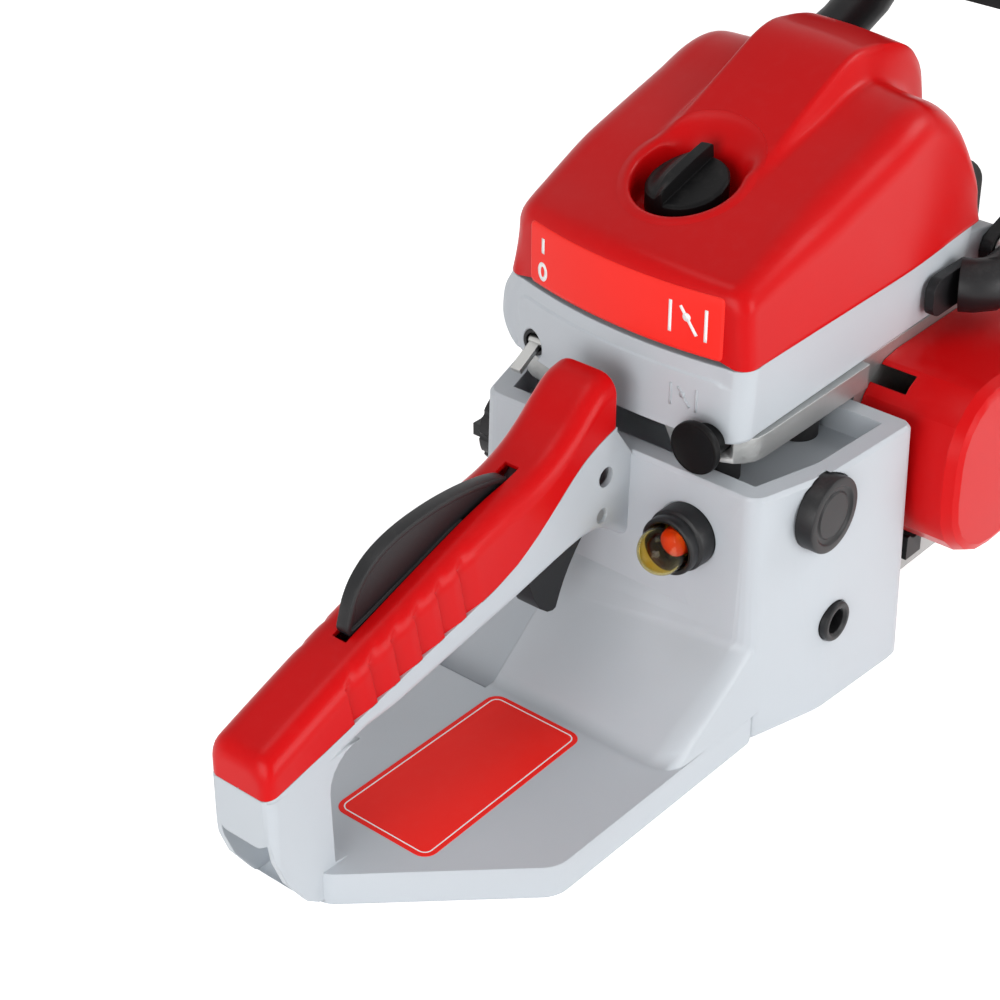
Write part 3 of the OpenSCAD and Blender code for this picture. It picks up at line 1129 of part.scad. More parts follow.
foot_x = crank_x;
foot_z = 17;
side_foot = [crank_x + 18, deck_z + 13.7];
foot_t = 4;
tube_route = [[foot_x, case_left + 2, foot_z], [foot_x, case_left + 26, foot_z],
    [crank_x + 2, case_left + 49, 24], [crank_x + 8, case_left + 58.5, 45], [crank_x + 22, case_left + 59, 80],
    [crank_x + 40, case_left + 59, 115], [crank_x + 58, case_left + 54, 152],
    [crank_x + 75, case_left + 33, 177], [crank_x + 92, case_left + 4, 200],
    [crank_x + 105, case_left - 16, 228], [crank_x + 109, case_left - 29, tube_top - 17],
    [crank_x + 110, 8, tube_top - 1], [crank_x + 108, -35, tube_top], [crank_x + 106, -60, tube_top - 7],
    [crank_x + 100, -76, tube_top - 36], [crank_x + 88, -82, deck_z + 67],
    [crank_x + 68, -83, deck_z + 35], [crank_x + 42, -82, deck_z + 19], [crank_x + 25, -78, deck_z + 14.7],
    [side_foot[0], -house_right - 4, side_foot[1]]];
foot_screws = [foot_x - 18, foot_x + 18];
module front_handle() color(black_plastic) difference() {
    union() {
        tube(tube_route, tube_d, 2, 16);
        side_plate(case_left, case_left + foot_t) polygon(rounded(
            box_corners(foot_x - 25, foot_z - 10, foot_x + 25, foot_z + 10), 8, 0));
        side_plate(-house_right - foot_t, -house_right + 0.6) polygon(rounded(
            box_corners(side_foot[0] - 22, side_foot[1] - 9, side_foot[0] + 13, side_foot[1] + 9), 6, 0));
    }
    for (x = foot_screws) rod_y(x, case_left - 1, case_left + foot_t + 1, foot_z, 5);
}
module handle_screws() color(steel_grey) for (x = foot_screws) {
    rod_y(x, case_left - 12, case_left + foot_t + 0.5, foot_z, 5);
    rod_y(x, case_left + foot_t, case_left + foot_t + 4, foot_z, 9);
}

guard_x = pivot_x + 64;
guard_z = pivot_z + 82;
guard_low = -80;
guard_high = 104;
module hand_guard() color(black_plastic) difference() {
    union() {
        for (s = [-1, 1]) mirror([0, s < 0 ? 1 : 0, 0]) side_plate(ear_y + ear_t + 0.4, arm_out) polygon(concat(
            guard_eye(135, 270), [[pivot_x + 46, pivot_z + 4], [guard_x + 5, pivot_z + 32],
                [guard_x + 14, pivot_z + 70], [guard_x + 14, guard_z + 14], [guard_x + 3, guard_z + 8],
                [guard_x, pivot_z + 68], [guard_x - 8, pivot_z + 42], [pivot_x + 34, pivot_z + 20]]));
        side_plate(guard_low, guard_high) polygon([for (q = [[0, 0], [10, 0], [14, 20], [17, 46], [16, 68],
            [13, 70], [11, 68], [12, 46], [9, 22], [5, 8]]) [guard_x + q[0], guard_z + q[1]]]);
    }
    rod_y(pivot_x, guard_low, -guard_low, pivot_z, guard_pin_d + 2 * pin_gap);
}
module guard_pins() color(steel_grey) for (s = [-1, 1]) mirror([0, s < 0 ? 1 : 0, 0]) {
    rod_y(pivot_x, ear_y, arm_out + 0.4, pivot_z, guard_pin_d);
    rod_y(pivot_x, arm_out + 0.4, arm_out + 2.4, pivot_z, guard_pin_d + 5);
}

tank_housing();
grip_cover();
throttle_lockout();
lockout_pin();
throttle_trigger();
trigger_pin();
grip_screw();
primer_base();
primer_bulb();
primer_valve();
fuel_cap();
mount_plugs();
rubber_mounts();
crankcase();
intake_housing();
top_cover();
cover_knob();
choke_knob();
stop_switch();
switch_toggle();
carburettor();
air_filter();
intake_manifold();
engine_cylinder();
piston();
spark_plug();
plug_boot();
ignition_coil();
crankshaft();
crank_bearings();
flywheel();
muffler();
starter_cover();
starter_pulley();
starter_rope();
starter_grip();
clutch_hub();
clutch_drum();
rim_sprocket();
drum_bearing();
pump_worm();
clutch_cover();
bar_studs();
bar_nuts();
guide_bar();
nose_sprocket();
chain_drive_links();
chain_straps();
chain_cutters();
bumper_spike();
chain_catcher();
front_handle();
hand_guard();
guard_pins();
brake_band();
oil_cap();
handle_screws();
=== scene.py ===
import bpy
import bmesh
import math
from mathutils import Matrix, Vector
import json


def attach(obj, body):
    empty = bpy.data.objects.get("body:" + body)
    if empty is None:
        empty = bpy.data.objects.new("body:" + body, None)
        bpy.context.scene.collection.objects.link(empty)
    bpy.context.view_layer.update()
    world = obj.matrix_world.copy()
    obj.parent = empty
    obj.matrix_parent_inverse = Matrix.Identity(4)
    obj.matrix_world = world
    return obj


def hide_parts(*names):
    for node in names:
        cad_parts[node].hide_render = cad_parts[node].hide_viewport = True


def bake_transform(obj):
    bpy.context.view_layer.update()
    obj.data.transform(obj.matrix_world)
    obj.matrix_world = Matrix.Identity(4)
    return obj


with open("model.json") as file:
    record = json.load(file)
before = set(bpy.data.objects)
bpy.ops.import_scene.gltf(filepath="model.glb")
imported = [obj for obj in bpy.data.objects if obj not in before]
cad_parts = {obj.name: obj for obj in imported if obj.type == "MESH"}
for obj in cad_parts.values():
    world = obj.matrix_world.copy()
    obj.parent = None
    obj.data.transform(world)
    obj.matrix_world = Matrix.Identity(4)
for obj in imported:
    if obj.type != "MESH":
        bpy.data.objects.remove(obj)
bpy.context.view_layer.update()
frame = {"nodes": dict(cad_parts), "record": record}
nodes = frame["nodes"]
bodyOf = {node: body for body, names in frame["record"]["behaviour"]["bodies"].items() for node in names}
slotOf = {part["node"]: part["material_slot"] for part in frame["record"]["subparts"]}
mm = 0.001
white = (1, 1, 1, 1)
print("frame loaded,", len(nodes), "nodes")


# node trees and objects

def setInputs(tree, sockets, values):
    # each value is another node's output or a constant
    for key, value in values.items():
        if isinstance(value, bpy.types.NodeSocket):
            tree.links.new(value, sockets[key])
        else:
            sockets[key].default_value = value


def addNode(tree, kind, values=None, **settings):
    node = tree.nodes.new(kind)
    for key, value in settings.items():
        setattr(node, key, value)
    setInputs(tree, node.inputs, values or {})
    return node


def addMath(tree, operation, *terms):
    return addNode(tree, "ShaderNodeMath", dict(enumerate(terms)), operation=operation).outputs[0]


def addRange(tree, value, fromLow, fromHigh, toLow=0.0, toHigh=1.0):
    return addNode(tree, "ShaderNodeMapRange", {"Value": value, "From Min": fromLow, "From Max": fromHigh,
                                                "To Min": toLow, "To Max": toHigh}).outputs["Result"]


def newTree(name, treeKind, inputs, outputs):
    tree = bpy.data.node_groups.new(name, treeKind)
    for label, kind, *start in inputs:
        socket = tree.interface.new_socket(label, in_out="INPUT", socket_type="NodeSocket" + kind)
        if start:
            socket.default_value = start[0]
    for label, kind in outputs:
        tree.interface.new_socket(label, in_out="OUTPUT", socket_type="NodeSocket" + kind)
    return tree, tree.nodes.new("NodeGroupInput").outputs, tree.nodes.new("NodeGroupOutput").inputs


def newMaterial(name):
    material = bpy.data.materials.new(name)
    material.use_nodes = True
    return material, material.node_tree, material.node_tree.nodes["Principled BSDF"].inputs


def addObject(name, data):
    thing = bpy.data.objects.new(name, data)
    bpy.context.scene.collection.objects.link(thing)
    return thing


# camera, lamps and floor

viewOptions = {
    "lens": 86.4,
    "sensor": 36,
    "clipStart": 0.05,
    "place": (-0.6813, -0.5250, 0.6249),
    "pitch": 32,
    "yaw": 40.4,
}


def makeCamera(options):
    data = bpy.data.cameras.new("camera")
    data.lens = options["lens"]
    data.sensor_width = options["sensor"]
    data.clip_start = options["clipStart"]
    camera = addObject("camera", data)
    camera.location = options["place"]
    camera.rotation_euler = (math.radians(90 - options["pitch"]), 0, math.radians(options["yaw"] - 90))
    bpy.context.scene.camera = camera


studioOptions = {
    "target": (0.05, 0, 0.08),
    "lamps": {  # place, power and size
        "sideLamp": ((0.15, -1.5, 0.38), 12, 0.9),
        "rearLamp": ((-1.45, -0.3, 0.4), 12, 0.9),
        "topLamp": ((-0.3, 0.3, 1.4), 2, 0.5),
        "rimLamp": ((1.1, -0.85, 0.95), 5, 0.5),
    },
    "skyStrength": 0.3,
    "floorSize": 6,
    "floorLevel": -0.0004,
    "floorColor": (0.93, 0.93, 0.93, 1),
    "floorRoughness": 0.7,
    "floorGlow": 0.7,
}


def makeLamp(name, place, power, size, target):
    data = bpy.data.lights.new(name, "AREA")
    data.energy = power
    data.size = size
    lamp = addObject(name, data)
    lamp.location = place
    lamp.rotation_euler = (Vector(target) - Vector(place)).to_track_quat("-Z", "Y").to_euler()


def addSeenLevel(tree, unseen, seen):
    # one level for the light on the object, another for what is seen straight, through glass or mirrored
    rays = addNode(tree, "ShaderNodeLightPath").outputs
    direct = addMath(tree, "MAXIMUM", rays["Is Camera Ray"], rays["Is Transmission Ray"])
    return addRange(tree, addMath(tree, "MAXIMUM", direct, rays["Is Glossy Ray"]), 0.0, 1.0, unseen, seen)


def makeStudio(options):
    for name, (place, power, size) in options["lamps"].items():
        makeLamp(name, place, power, size, options["target"])
    world = bpy.data.worlds.new("studioSky")
    world.use_nodes = True
    bpy.context.scene.world = world
    tree = world.node_tree
    setInputs(tree, tree.nodes["Background"].inputs, {
        "Color": white, "Strength": addSeenLevel(tree, options["skyStrength"], 1.0)})


def makeFloor(options):
    size = options["floorSize"]
    corners = ((-size, -size), (size, -size), (size, size), (-size, size))
    mesh = bpy.data.meshes.new("floor")
    mesh.from_pydata([(x, y, options["floorLevel"]) for x, y in corners], [], [(0, 1, 2, 3)])
    floor = addObject("floor", mesh)
    material, tree, shader = newMaterial("paleFloor")
    setInputs(tree, shader, {
        "Base Color": options["floorColor"], "Roughness": options["floorRoughness"], "Emission Color": white,
        "Emission Strength": addSeenLevel(tree, 0.0, options["floorGlow"])})
    mesh.materials.append(material)


bpy.context.scene.view_settings.view_transform = "Standard"
makeCamera(viewOptions)
makeStudio(studioOptions)
makeFloor(studioOptions)
print("camera and studio ready")


# shared shader groups

def addNoise(tree, place, scale, detail, roughness):
    return addNode(tree, "ShaderNodeTexNoise", {"Vector": place, "Scale": scale, "Detail": detail,
                                                "Roughness": roughness}).outputs["Fac"]


def makeGrainGroup():  # pebbled or sandy surface: height and a change of roughness
    tree, given, out = newTree("surfaceGrain", "ShaderNodeTree", [
        ("Scale", "Float", 900.0), ("Blotch", "Float", 25.0), ("Roughness", "Float", 0.4), ("Spread", "Float", 0.1)],
        [("Height", "Float"), ("Roughness", "Float")])
    place = addNode(tree, "ShaderNodeTexCoord").outputs["Object"]
    centred = addMath(tree, "SUBTRACT", addNoise(tree, place, given["Blotch"], 3.0, 0.55), 0.5)
    change = addMath(tree, "MULTIPLY", centred, given["Spread"])
    setInputs(tree, out, {"Height": addNoise(tree, place, given["Scale"], 3.0, 0.6),
                          "Roughness": addMath(tree, "ADD", change, given["Roughness"])})
    return tree


def makeToneGroup():  # slow change of tone, and dust that settles on what faces up
    tree, given, out = newTree("toneAndDust", "ShaderNodeTree", [
        ("Color", "Color", (0.5, 0.5, 0.5, 1)), ("Dark", "Float", 0.9), ("Dust", "Float", 0.1),
        ("Dust Color", "Color", (0.55, 0.53, 0.5, 1))], [("Color", "Color")])
    place = addNode(tree, "ShaderNodeTexCoord").outputs["Object"]
    tone = addRange(tree, addNoise(tree, place, 14, 3.0, 0.5), 0.3, 0.7, given["Dark"])
    shade = addNode(tree, "ShaderNodeVectorMath", {0: given["Color"], "Scale": tone}, operation="SCALE")
    facing = addNode(tree, "ShaderNodeSeparateXYZ", {0: addNode(tree, "ShaderNodeNewGeometry").outputs["Normal"]})
    speck = addRange(tree, addNoise(tree, place, 160, 6.0, 0.7), 0.5, 0.75)
    settled = addMath(tree, "MULTIPLY", addMath(tree, "MAXIMUM", facing.outputs["Z"], 0.0), speck)
    mix = addNode(tree, "ShaderNodeMix", {"Factor": addMath(tree, "MULTIPLY", settled, given["Dust"]),
                                          6: shade.outputs[0], 7: given["Dust Color"]}, data_type="RGBA")
    setInputs(tree, out, {"Color": mix.outputs[2]})
    return tree


def makeScratchGroup():  # fine scratches that run along one axis
    tree, given, out = newTree("fineScratches", "ShaderNodeTree", [
        ("Stretch", "Vector", (1.0, 1.0, 1.0)), ("Scale", "Float", 300.0)], [("Mask", "Float")])
    place = addNode(tree, "ShaderNodeTexCoord").outputs["Object"]
    stretched = addNode(tree, "ShaderNodeVectorMath", {0: place, 1: given["Stretch"]}, operation="MULTIPLY")
    lines = addNoise(tree, stretched.outputs[0], given["Scale"], 4.0, 0.7)
    setInputs(tree, out, {"Mask": addRange(tree, lines, 0.35, 0.65)})
    return tree


grainGroup = makeGrainGroup()
toneGroup = makeToneGroup()
scratchGroup = makeScratchGroup()
print("shader groups built")


# finishes

def toLinear(*color):
    shares = [level / 255 for level in color]
    return tuple(s / 12.92 if s <= 0.04 else ((s + 0.055) / 1.055) ** 2.4 for s in shares) + (1,)


def placeGroup(tree, group, values):
    return addNode(tree, "ShaderNodeGroup", values, node_tree=group).outputs


scratchRoughness = 0.16


def makeFinish(name, color, roughness, grainScale, grainDepth, spread=0.08, dark=0.93, dust=0.05, metallic=0.0,
               scratch=None, specular=0.5, bevel=0.6):
    material, tree, shader = newMaterial(name)
    grain = placeGroup(tree, grainGroup, {"Scale": grainScale, "Roughness": roughness, "Spread": spread})
    tone = placeGroup(tree, toneGroup, {"Color": toLinear(*color), "Dark": dark, "Dust": dust})
    rough = grain["Roughness"]
    if scratch:
        lines = placeGroup(tree, scratchGroup, {"Stretch": scratch})
        rough = addMath(tree, "MULTIPLY_ADD", lines["Mask"], scratchRoughness, rough)
    edge = addNode(tree, "ShaderNodeBevel", {"Radius": bevel * mm}, samples=4)  # softens the light on moulded edges
    bump = addNode(tree, "ShaderNodeBump", {"Strength": 1.0, "Distance": grainDepth * mm, "Height": grain["Height"],
                                            "Normal": edge.outputs["Normal"]})
    setInputs(tree, shader, {"Base Color": tone["Color"], "Roughness": rough, "Normal": bump.outputs["Normal"],
                             "Metallic": metallic, "Specular IOR Level": specular})
    return material


finishes = {
    "red_plastic": makeFinish("redPlastic", (208, 10, 14), 0.3, 500, 0.008, dark=0.96, dust=0.01, specular=0.14),
    "grey_plastic": makeFinish("greyPlastic", (192, 198, 204), 0.42, 700, 0.02, dark=0.97, dust=0.03),
    "black_plastic": makeFinish("blackPlastic", (26, 26, 28), 0.4, 1100, 0.03, dark=0.85, dust=0.03, specular=0.3),
    "rubber_black": makeFinish("blackRubber", (28, 28, 29), 0.72, 900, 0.03, dust=0.15),
    "cast_aluminium": makeFinish("castAluminium", (184, 185, 184), 0.42, 420, 0.16, spread=0.2, dark=0.8,
                                 metallic=0.85),
    "steel": makeFinish("zincSteel", (188, 188, 186), 0.3, 600, 0.01, metallic=1.0, dark=0.88, scratch=(1, 14, 14)),
    "chain_steel": makeFinish("chainSteel", (128, 128, 130), 0.34, 600, 0.01, metallic=1.0, dark=0.7, bevel=0.2),
    "exhaust_steel": makeFinish("exhaustSteel", (74, 72, 70), 0.6, 350, 0.05, metallic=0.5, spread=0.2),
    "filter_felt": makeFinish("filterFelt", (226, 221, 200), 0.95, 1500, 0.2),
    "rope_fibre": makeFinish("ropeFibre", (214, 212, 204), 0.8, 1400, 0.2),
}
knobFinish = makeFinish("knobBlack", (13, 13, 14), 0.42, 1100, 0.03, dark=0.85, dust=0.02, specular=0.12)
valveFinish = makeFinish("valveRed", (232, 62, 30), 0.35, 300, 0.01, dark=0.95)
thinFilm = {"dust": 0.01, "bevel": 0.05}
labelFinish = makeFinish("labelFilm", (255, 50, 42), 0.32, 300, 0.004, dark=0.98, specular=0.15, **thinFilm)
stickerFinish = makeFinish("stickerFilm", (255, 40, 32), 0.36, 300, 0.004, dark=0.98, specular=0.15, **thinFilm)
printFinish = makeFinish("whitePrint", (250, 250, 250), 0.4, 300, 0.002, dark=0.99, **thinFilm)


def makeBulbFinish():
    material, tree, shader = newMaterial("clearBulb")
    grain = placeGroup(tree, grainGroup, {"Scale": 200.0, "Roughness": 0.05, "Spread": 0.05})
    setInputs(tree, shader, {"Base Color": toLinear(236, 214, 128), "Roughness": grain["Roughness"],
                             "Transmission Weight": 1.0, "IOR": 1.22})
    return material


finishes["clear_bulb"] = makeBulbFinish()
print("finishes ready")


# shape helpers, all in millimetres

def clamp(value, low, high):
    return max(low, min(high, value))


def smoothStep(t):
    c = clamp(t, 0.0, 1.0)
    return c * c * (3 - 2 * c)


def spread(low, high, count):
    return [low + (high - low) * i / (count - 1) for i in range(count)]


def curveAt(points, x):
    # height of a smooth curve through points of (x, height)
    last = len(points) - 1
    i = 0
    while i < last - 1 and x >= points[i + 1][0]:
        i += 1
    slopes = []
    for j in (i, i + 1):
        a = points[max(j - 1, 0)]
        b = points[min(j + 1, last)]
        slopes.append((b[1] - a[1]) / (b[0] - a[0]))
    h = points[i + 1][0] - points[i][0]
    t = (x - points[i][0]) / h
    return ((1 + 2 * t) * (1 - t) ** 2 * points[i][1] + t * (1 - t) ** 2 * h * slopes[0]
            + t * t * (3 - 2 * t) * points[i + 1][1] + t * t * (t - 1) * h * slopes[1])


def roundInset(radius, depth):
    # how far a rounded end still draws in at a depth behind its tip
    if depth >= radius:
        return 0.0
    return radius - math.sqrt(max(0.0, radius ** 2 - (radius - depth) ** 2))


def circle(centre, radius, count):
    return [(centre[0] + radius * math.cos(2 * math.pi * k / count),
             centre[1] + radius * math.sin(2 * math.pi * k / count)) for k in range(count)]


def arc(centre, radius, start, end, count):
    # from one angle to another, in degrees
    turns = [math.radians(angle) for angle in spread(start, end, count)]
    return [(centre[0] + radius * math.cos(t), centre[1] + radius * math.sin(t)) for t in turns]


def joinRings(rings, closed=True, capped=False):
    # faces between rings of equal count, numbered in order
    count = len(rings[0])
    vertices = [point for ring in rings for point in ring]
    faces = []
    for k in range(len(rings) - 1):
        for i in range(count if closed else count - 1):
            j = (i + 1) % count
            faces.append((k * count + i, k * count + j, (k + 1) * count + j, (k + 1) * count + i))
    if capped:
        faces += [tuple(range(count)), tuple(range(len(vertices) - count, len(vertices)))]
    return vertices, faces


def turnedShape(profile, centre, turns=64, alongY=False):
    # profile of (place, radius) turned about a line along x or y; an open profile gets a cap at each end
    rings = []
    for place, radius in profile:
        spots = circle(centre, radius, turns)
        rings.append([(a, place, b) if alongY else (place, a, b) for a, b in spots])
    return joinRings(rings, capped=profile[0] != profile[-1])


def fillEnd(vertices, faces, first, count, centre, levels, reach):
    # copies of an open ring, drawn towards a centre
    ring = [Vector(point) for point in vertices[first:first + count]]
    before = first
    for level in range(1, levels + 1):
        start = len(vertices)
        vertices += [tuple(point.lerp(centre, level / reach)) for point in ring]
        faces += [(before + i, before + i + 1, start + i + 1, start + i) for i in range(count - 1)]
        before = start
    return before


def mergeShapes(shapes):
    allVertices = []
    allFaces = []
    for vertices, faces in shapes:
        shift = len(allVertices)
        allVertices += vertices
        allFaces += [tuple(i + shift for i in face) for face in faces]
    return allVertices, allFaces


def roundedOutline(corners, radius, steps):
    points = []
    count = len(corners)
    for i in range(count):
        corner = Vector(corners[i])
        back = (Vector(corners[i - 1]) - corner).normalized()
        ahead = (Vector(corners[(i + 1) % count]) - corner).normalized()
        half = back.angle(ahead) / 2
        reach = radius / math.tan(half)
        centre = corner + (back + ahead).normalized() * radius / math.sin(half)
        start = corner + back * reach - centre
        end = corner + ahead * reach - centre
        turn = math.atan2(start[0] * end[1] - start[1] * end[0], start.dot(end))
        for k in range(steps + 1):
            c = math.cos(turn * k / steps)
            s = math.sin(turn * k / steps)
            points.append((centre[0] + start[0] * c - start[1] * s, centre[1] + start[0] * s + start[1] * c))
    return points


def insetOutline(outline, distance):
    centre = sum((Vector(p) for p in outline), Vector((0, 0))) / len(outline)
    count = len(outline)
    moved = []
    for i in range(count):
        along = (Vector(outline[(i + 1) % count]) - Vector(outline[i - 1])).normalized()
        normal = Vector((-along[1], along[0]))
        if normal.dot(centre - Vector(outline[i])) < 0:
            normal.negate()
        moved.append(tuple(Vector(outline[i]) + normal * distance))
    return moved


# pieces: mesh, finish, and the CAD node and body they belong to

weldDistance = 0.005
builtNodes = set()  # CAD nodes that a finished piece stands for


def makeMesh(name, vertices, faces=()):
    mesh = bpy.data.meshes.new(name)
    mesh.from_pydata([(x * mm, y * mm, z * mm) for x, y, z in vertices], [], faces)
    return mesh


def cleanMesh(mesh, weld=weldDistance, turnOut=True, flat=None):
    # doubles are merged before the faces are turned outwards
    work = bmesh.new()
    work.from_mesh(mesh)
    bmesh.ops.remove_doubles(work, verts=work.verts, dist=weld * mm)
    if turnOut:
        bmesh.ops.recalc_face_normals(work, faces=work.faces)
    if flat:
        bmesh.ops.dissolve_limit(work, angle_limit=math.radians(flat), verts=work.verts, edges=work.edges)
    work.to_mesh(mesh)
    work.free()


def smoothShading(piece, angle):
    mesh = piece.data
    mesh.polygons.foreach_set("use_smooth", [True] * len(mesh.polygons))
    mesh.set_sharp_from_angle(angle=math.radians(angle))


def applyModifiers(piece):
    flat = bpy.data.meshes.new_from_object(piece.evaluated_get(bpy.context.evaluated_depsgraph_get()))
    old = piece.data
    piece.modifiers.clear()
    flat.name = old.name
    piece.data = flat
    bpy.data.meshes.remove(old)


def addWall(piece, thickness):
    wall = piece.modifiers.new("wall", "SOLIDIFY")
    wall.thickness = thickness * mm
    wall.offset = -1
    wall.use_even_offset = True
    applyModifiers(piece)


def settlePiece(piece, replaced=None, rides=True):
    # a piece that stands for a CAD node rides with that node's body, any other with the saw
    if replaced:
        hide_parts(replaced)
        builtNodes.add(replaced)
    if rides:
        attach(piece, bodyOf[replaced] if replaced else "saw")
    return piece


def makePiece(name, shape, slot, replaced=None, finish=None, angle=35, turnOut=True, rides=True):
    mesh = makeMesh(name, *shape)
    cleanMesh(mesh, turnOut=turnOut)
    mesh.materials.append(finish or finishes[slot])
    piece = addObject(name, mesh)
    smoothShading(piece, angle)
    return settlePiece(piece, replaced, rides)


dressOptions = {
    "smoothAngle": 28,
    "flat": 0.3,
    "weld": 0.01,
    "flatWeight": 80,
}


def dressNode(node):
    # a welded copy of a CAD node with its finish; large flats keep their shading
    o = dressOptions
    mesh = nodes[node].data.copy()
    mesh.materials.clear()
    mesh.materials.append(finishes[slotOf[node]])
    piece = addObject(node + "Skin", mesh)
    cleanMesh(mesh, o["weld"], turnOut=False, flat=o["flat"])
    smoothShading(piece, o["smoothAngle"])
    steady = piece.modifiers.new("steady", "WEIGHTED_NORMAL")
    steady.keep_sharp = True
    steady.weight = o["flatWeight"]
    applyModifiers(piece)
    return settlePiece(piece, node)


# top cover: a bowed shell with a ridge, and a cup for its knob

rearOptions = {
    "nearest": 5.7,
    "bow": 0.00215,
    "middle": -17.2,
    "reach": 60,
}
coverOptions = {
    "base": 167,
    "low": 167.25,
    "rear": 10,
    "front": 195,
    "half": 62.9,
    "taper": 4,
    "taperFrom": 120,
    "taperLength": 80,
    "roundFrom": 16,
    "roundLength": 60,
    "bowLength": 60,
    "endRound": 6,
    "endCentres": (186, 176),
    "endLevels": 12,
    "endReach": 12.5,
    "holeAbove": 190,
    "leftRound": (11, 13.5),
    "rightRound": (11, 16),
    "leftFlare": 4,
    "rightFlare": 2,
    "lowBevel": 0.4,
    "ridgeHalf": 25,
    "ridgeEdge": 6,
    "crown": 2.5,
    "rows": 74,
    "stations": 84,
}
coverLeft = [(10, 33.5), (20, 38.5), (30, 42.5), (45, 48.5), (62, 55), (86, 62), (110, 68.5), (133, 75),
             (148, 74), (170, 61), (185, 41), (196, 19)]
coverRight = [(10, 33.5), (20, 36.5), (30, 39.5), (45, 44), (62, 48.5), (86, 55.5), (110, 62), (133, 68.5),
              (148, 68), (170, 56), (185, 37), (196, 17)]
ridgeLine = [(46, 0), (70, 1.2), (90, 4.5), (110, 8.5), (133, 11.5), (150, 13.5), (170, 21),
             (185, 33), (196, 42)]
knobOptions = {
    "axis": (55, 1),
    "seat": 203,
    "radius": 17.4,
    "cupRadius": 22.8,
    "cupTurns": 96,
    "scoopFrom": 0.35,
    "scoopBlend": 0.6,
    "scoopStretch": 0.9,
    "barHeight": 6.3,
    "barWidth": 4.8,
    "skirt": 12,
    "slope": 0.289,
    "middle": 216,
}


def rearFace(y):
    o = rearOptions
    return o["nearest"] + o["bow"] * (y - o["middle"]) ** 2


def coverRear(y):
    # the cover's rear face stays level with its corners past the reach of the bow
    return rearFace(clamp(y, -rearOptions["reach"], rearOptions["reach"]))


def coverHalf(x):
    o = coverOptions
    return o["half"] - o["taper"] * smoothStep((x - o["taperFrom"]) / o["taperLength"])


def coverRound(x, side):
    o = coverOptions
    low, high = o["leftRound" if side > 0 else "rightRound"]
    return low + (high - low) * smoothStep((x - o["roundFrom"]) / o["roundLength"])


def coverShoulder(x, y):
    share = smoothStep((y / coverHalf(x) + 1) / 2)
    return coverOptions["base"] + curveAt(coverRight, x) * (1 - share) + curveAt(coverLeft, x) * share


def coverHeight(x, y):
    o = coverOptions
    across = min(1.0, abs(y) / (coverHalf(x) - coverRound(x, y)))
    ridge = curveAt(ridgeLine, x) if x > ridgeLine[0][0] else 0
    side = smoothStep((o["ridgeHalf"] + o["ridgeEdge"] / 2 - abs(y)) / o["ridgeEdge"])
    return coverShoulder(x, y) + o["crown"] * (1 - across ** 2) ** 1.3 + ridge * side


def bowCover(point):
    x, y, z = point
    rear = coverOptions["rear"]
    share = 1 - smoothStep((x - rear) / coverOptions["bowLength"])
    return (x + (coverRear(y) - rear) * share, y, z)


def coverRing(x):
    o = coverOptions
    inset = roundInset(o["endRound"], min(x - o["rear"], o["front"] - x))
    half = coverHalf(x)
    low = o["low"]
    sides = {}
    inner = {}
    for side, flare in ((-1, o["rightFlare"]), (1, o["leftFlare"])):
        edgeRound = coverRound(x, side)
        inner[side] = half - edgeRound
        shoulder = coverShoulder(x, side * inner[side]) - edgeRound
        top = max(low + 3, shoulder - 1)
        wall = []
        for z in [low, low + o["lowBevel"]] + spread(low + 2, top, 7):
            out = half - inset + flare * (1 - (z - low) / (top + 1 - low)) ** 1.5
            wall.append((out - (o["lowBevel"] if z == low else 0), z))
        wall += arc((inner[side], shoulder), edgeRound - inset, 0, 90, 11)
        sides[side] = [(side * y, z) for y, z in wall]
    middle = (inner[1] - inner[-1]) / 2
    reach = (inner[1] + inner[-1]) / 2
    ys = [middle + reach * (1 - 2 * k / o["rows"]) for k in range(1, o["rows"])]
    top = [(y, coverHeight(x, y) - inset) for y in ys]
    return [(x, y, z) for y, z in sides[1] + top + sides[-1][::-1]]


def coverStations():
    o = coverOptions
    turns = [o["endRound"] * (1 - math.cos(math.radians(15 * k))) for k in range(6)]
    middle = spread(o["rear"] + o["endRound"], o["front"] - o["endRound"], o["stations"])
    return [o["rear"] + t for t in turns] + middle + [o["front"] - t for t in turns[::-1]]


def cupPoint(distance, turn):
    # the cup's inner side: a lip at the rear and sides, a soft scoop in front
    k = knobOptions
    soft = smoothStep((math.cos(turn) - k["scoopFrom"]) / k["scoopBlend"])
    radius = k["cupRadius"] + distance + soft * max(0.0, distance) * k["scoopStretch"]
    return k["axis"][0] + radius * math.cos(turn), k["axis"][1] + radius * math.sin(turn), soft


cupProfile = [(6.0, -0.02), (5.3, 0.1), (4.6, 0.3), (3.6, 0.55), (2.6, 0.6), (1.7, 0.35), (0.9, -0.25),
              (0.35, -1.1), (0.0, -2.2)]
scoopRises = [-0.02, -0.25, -0.8, -2.0, -3.8, -6.0, -8.6, -10.8, -12.5]
cupWall = [(0.35, 0.3), (0.7, 0.6)]  # share of the way down to the fillet, and inset
cupFloor = [(2.4, 1.0), (0.9, 1.6), (0.1, 2.8), (0, 6), (0, 14), (0, 22.7)]  # height over the seat, and inset


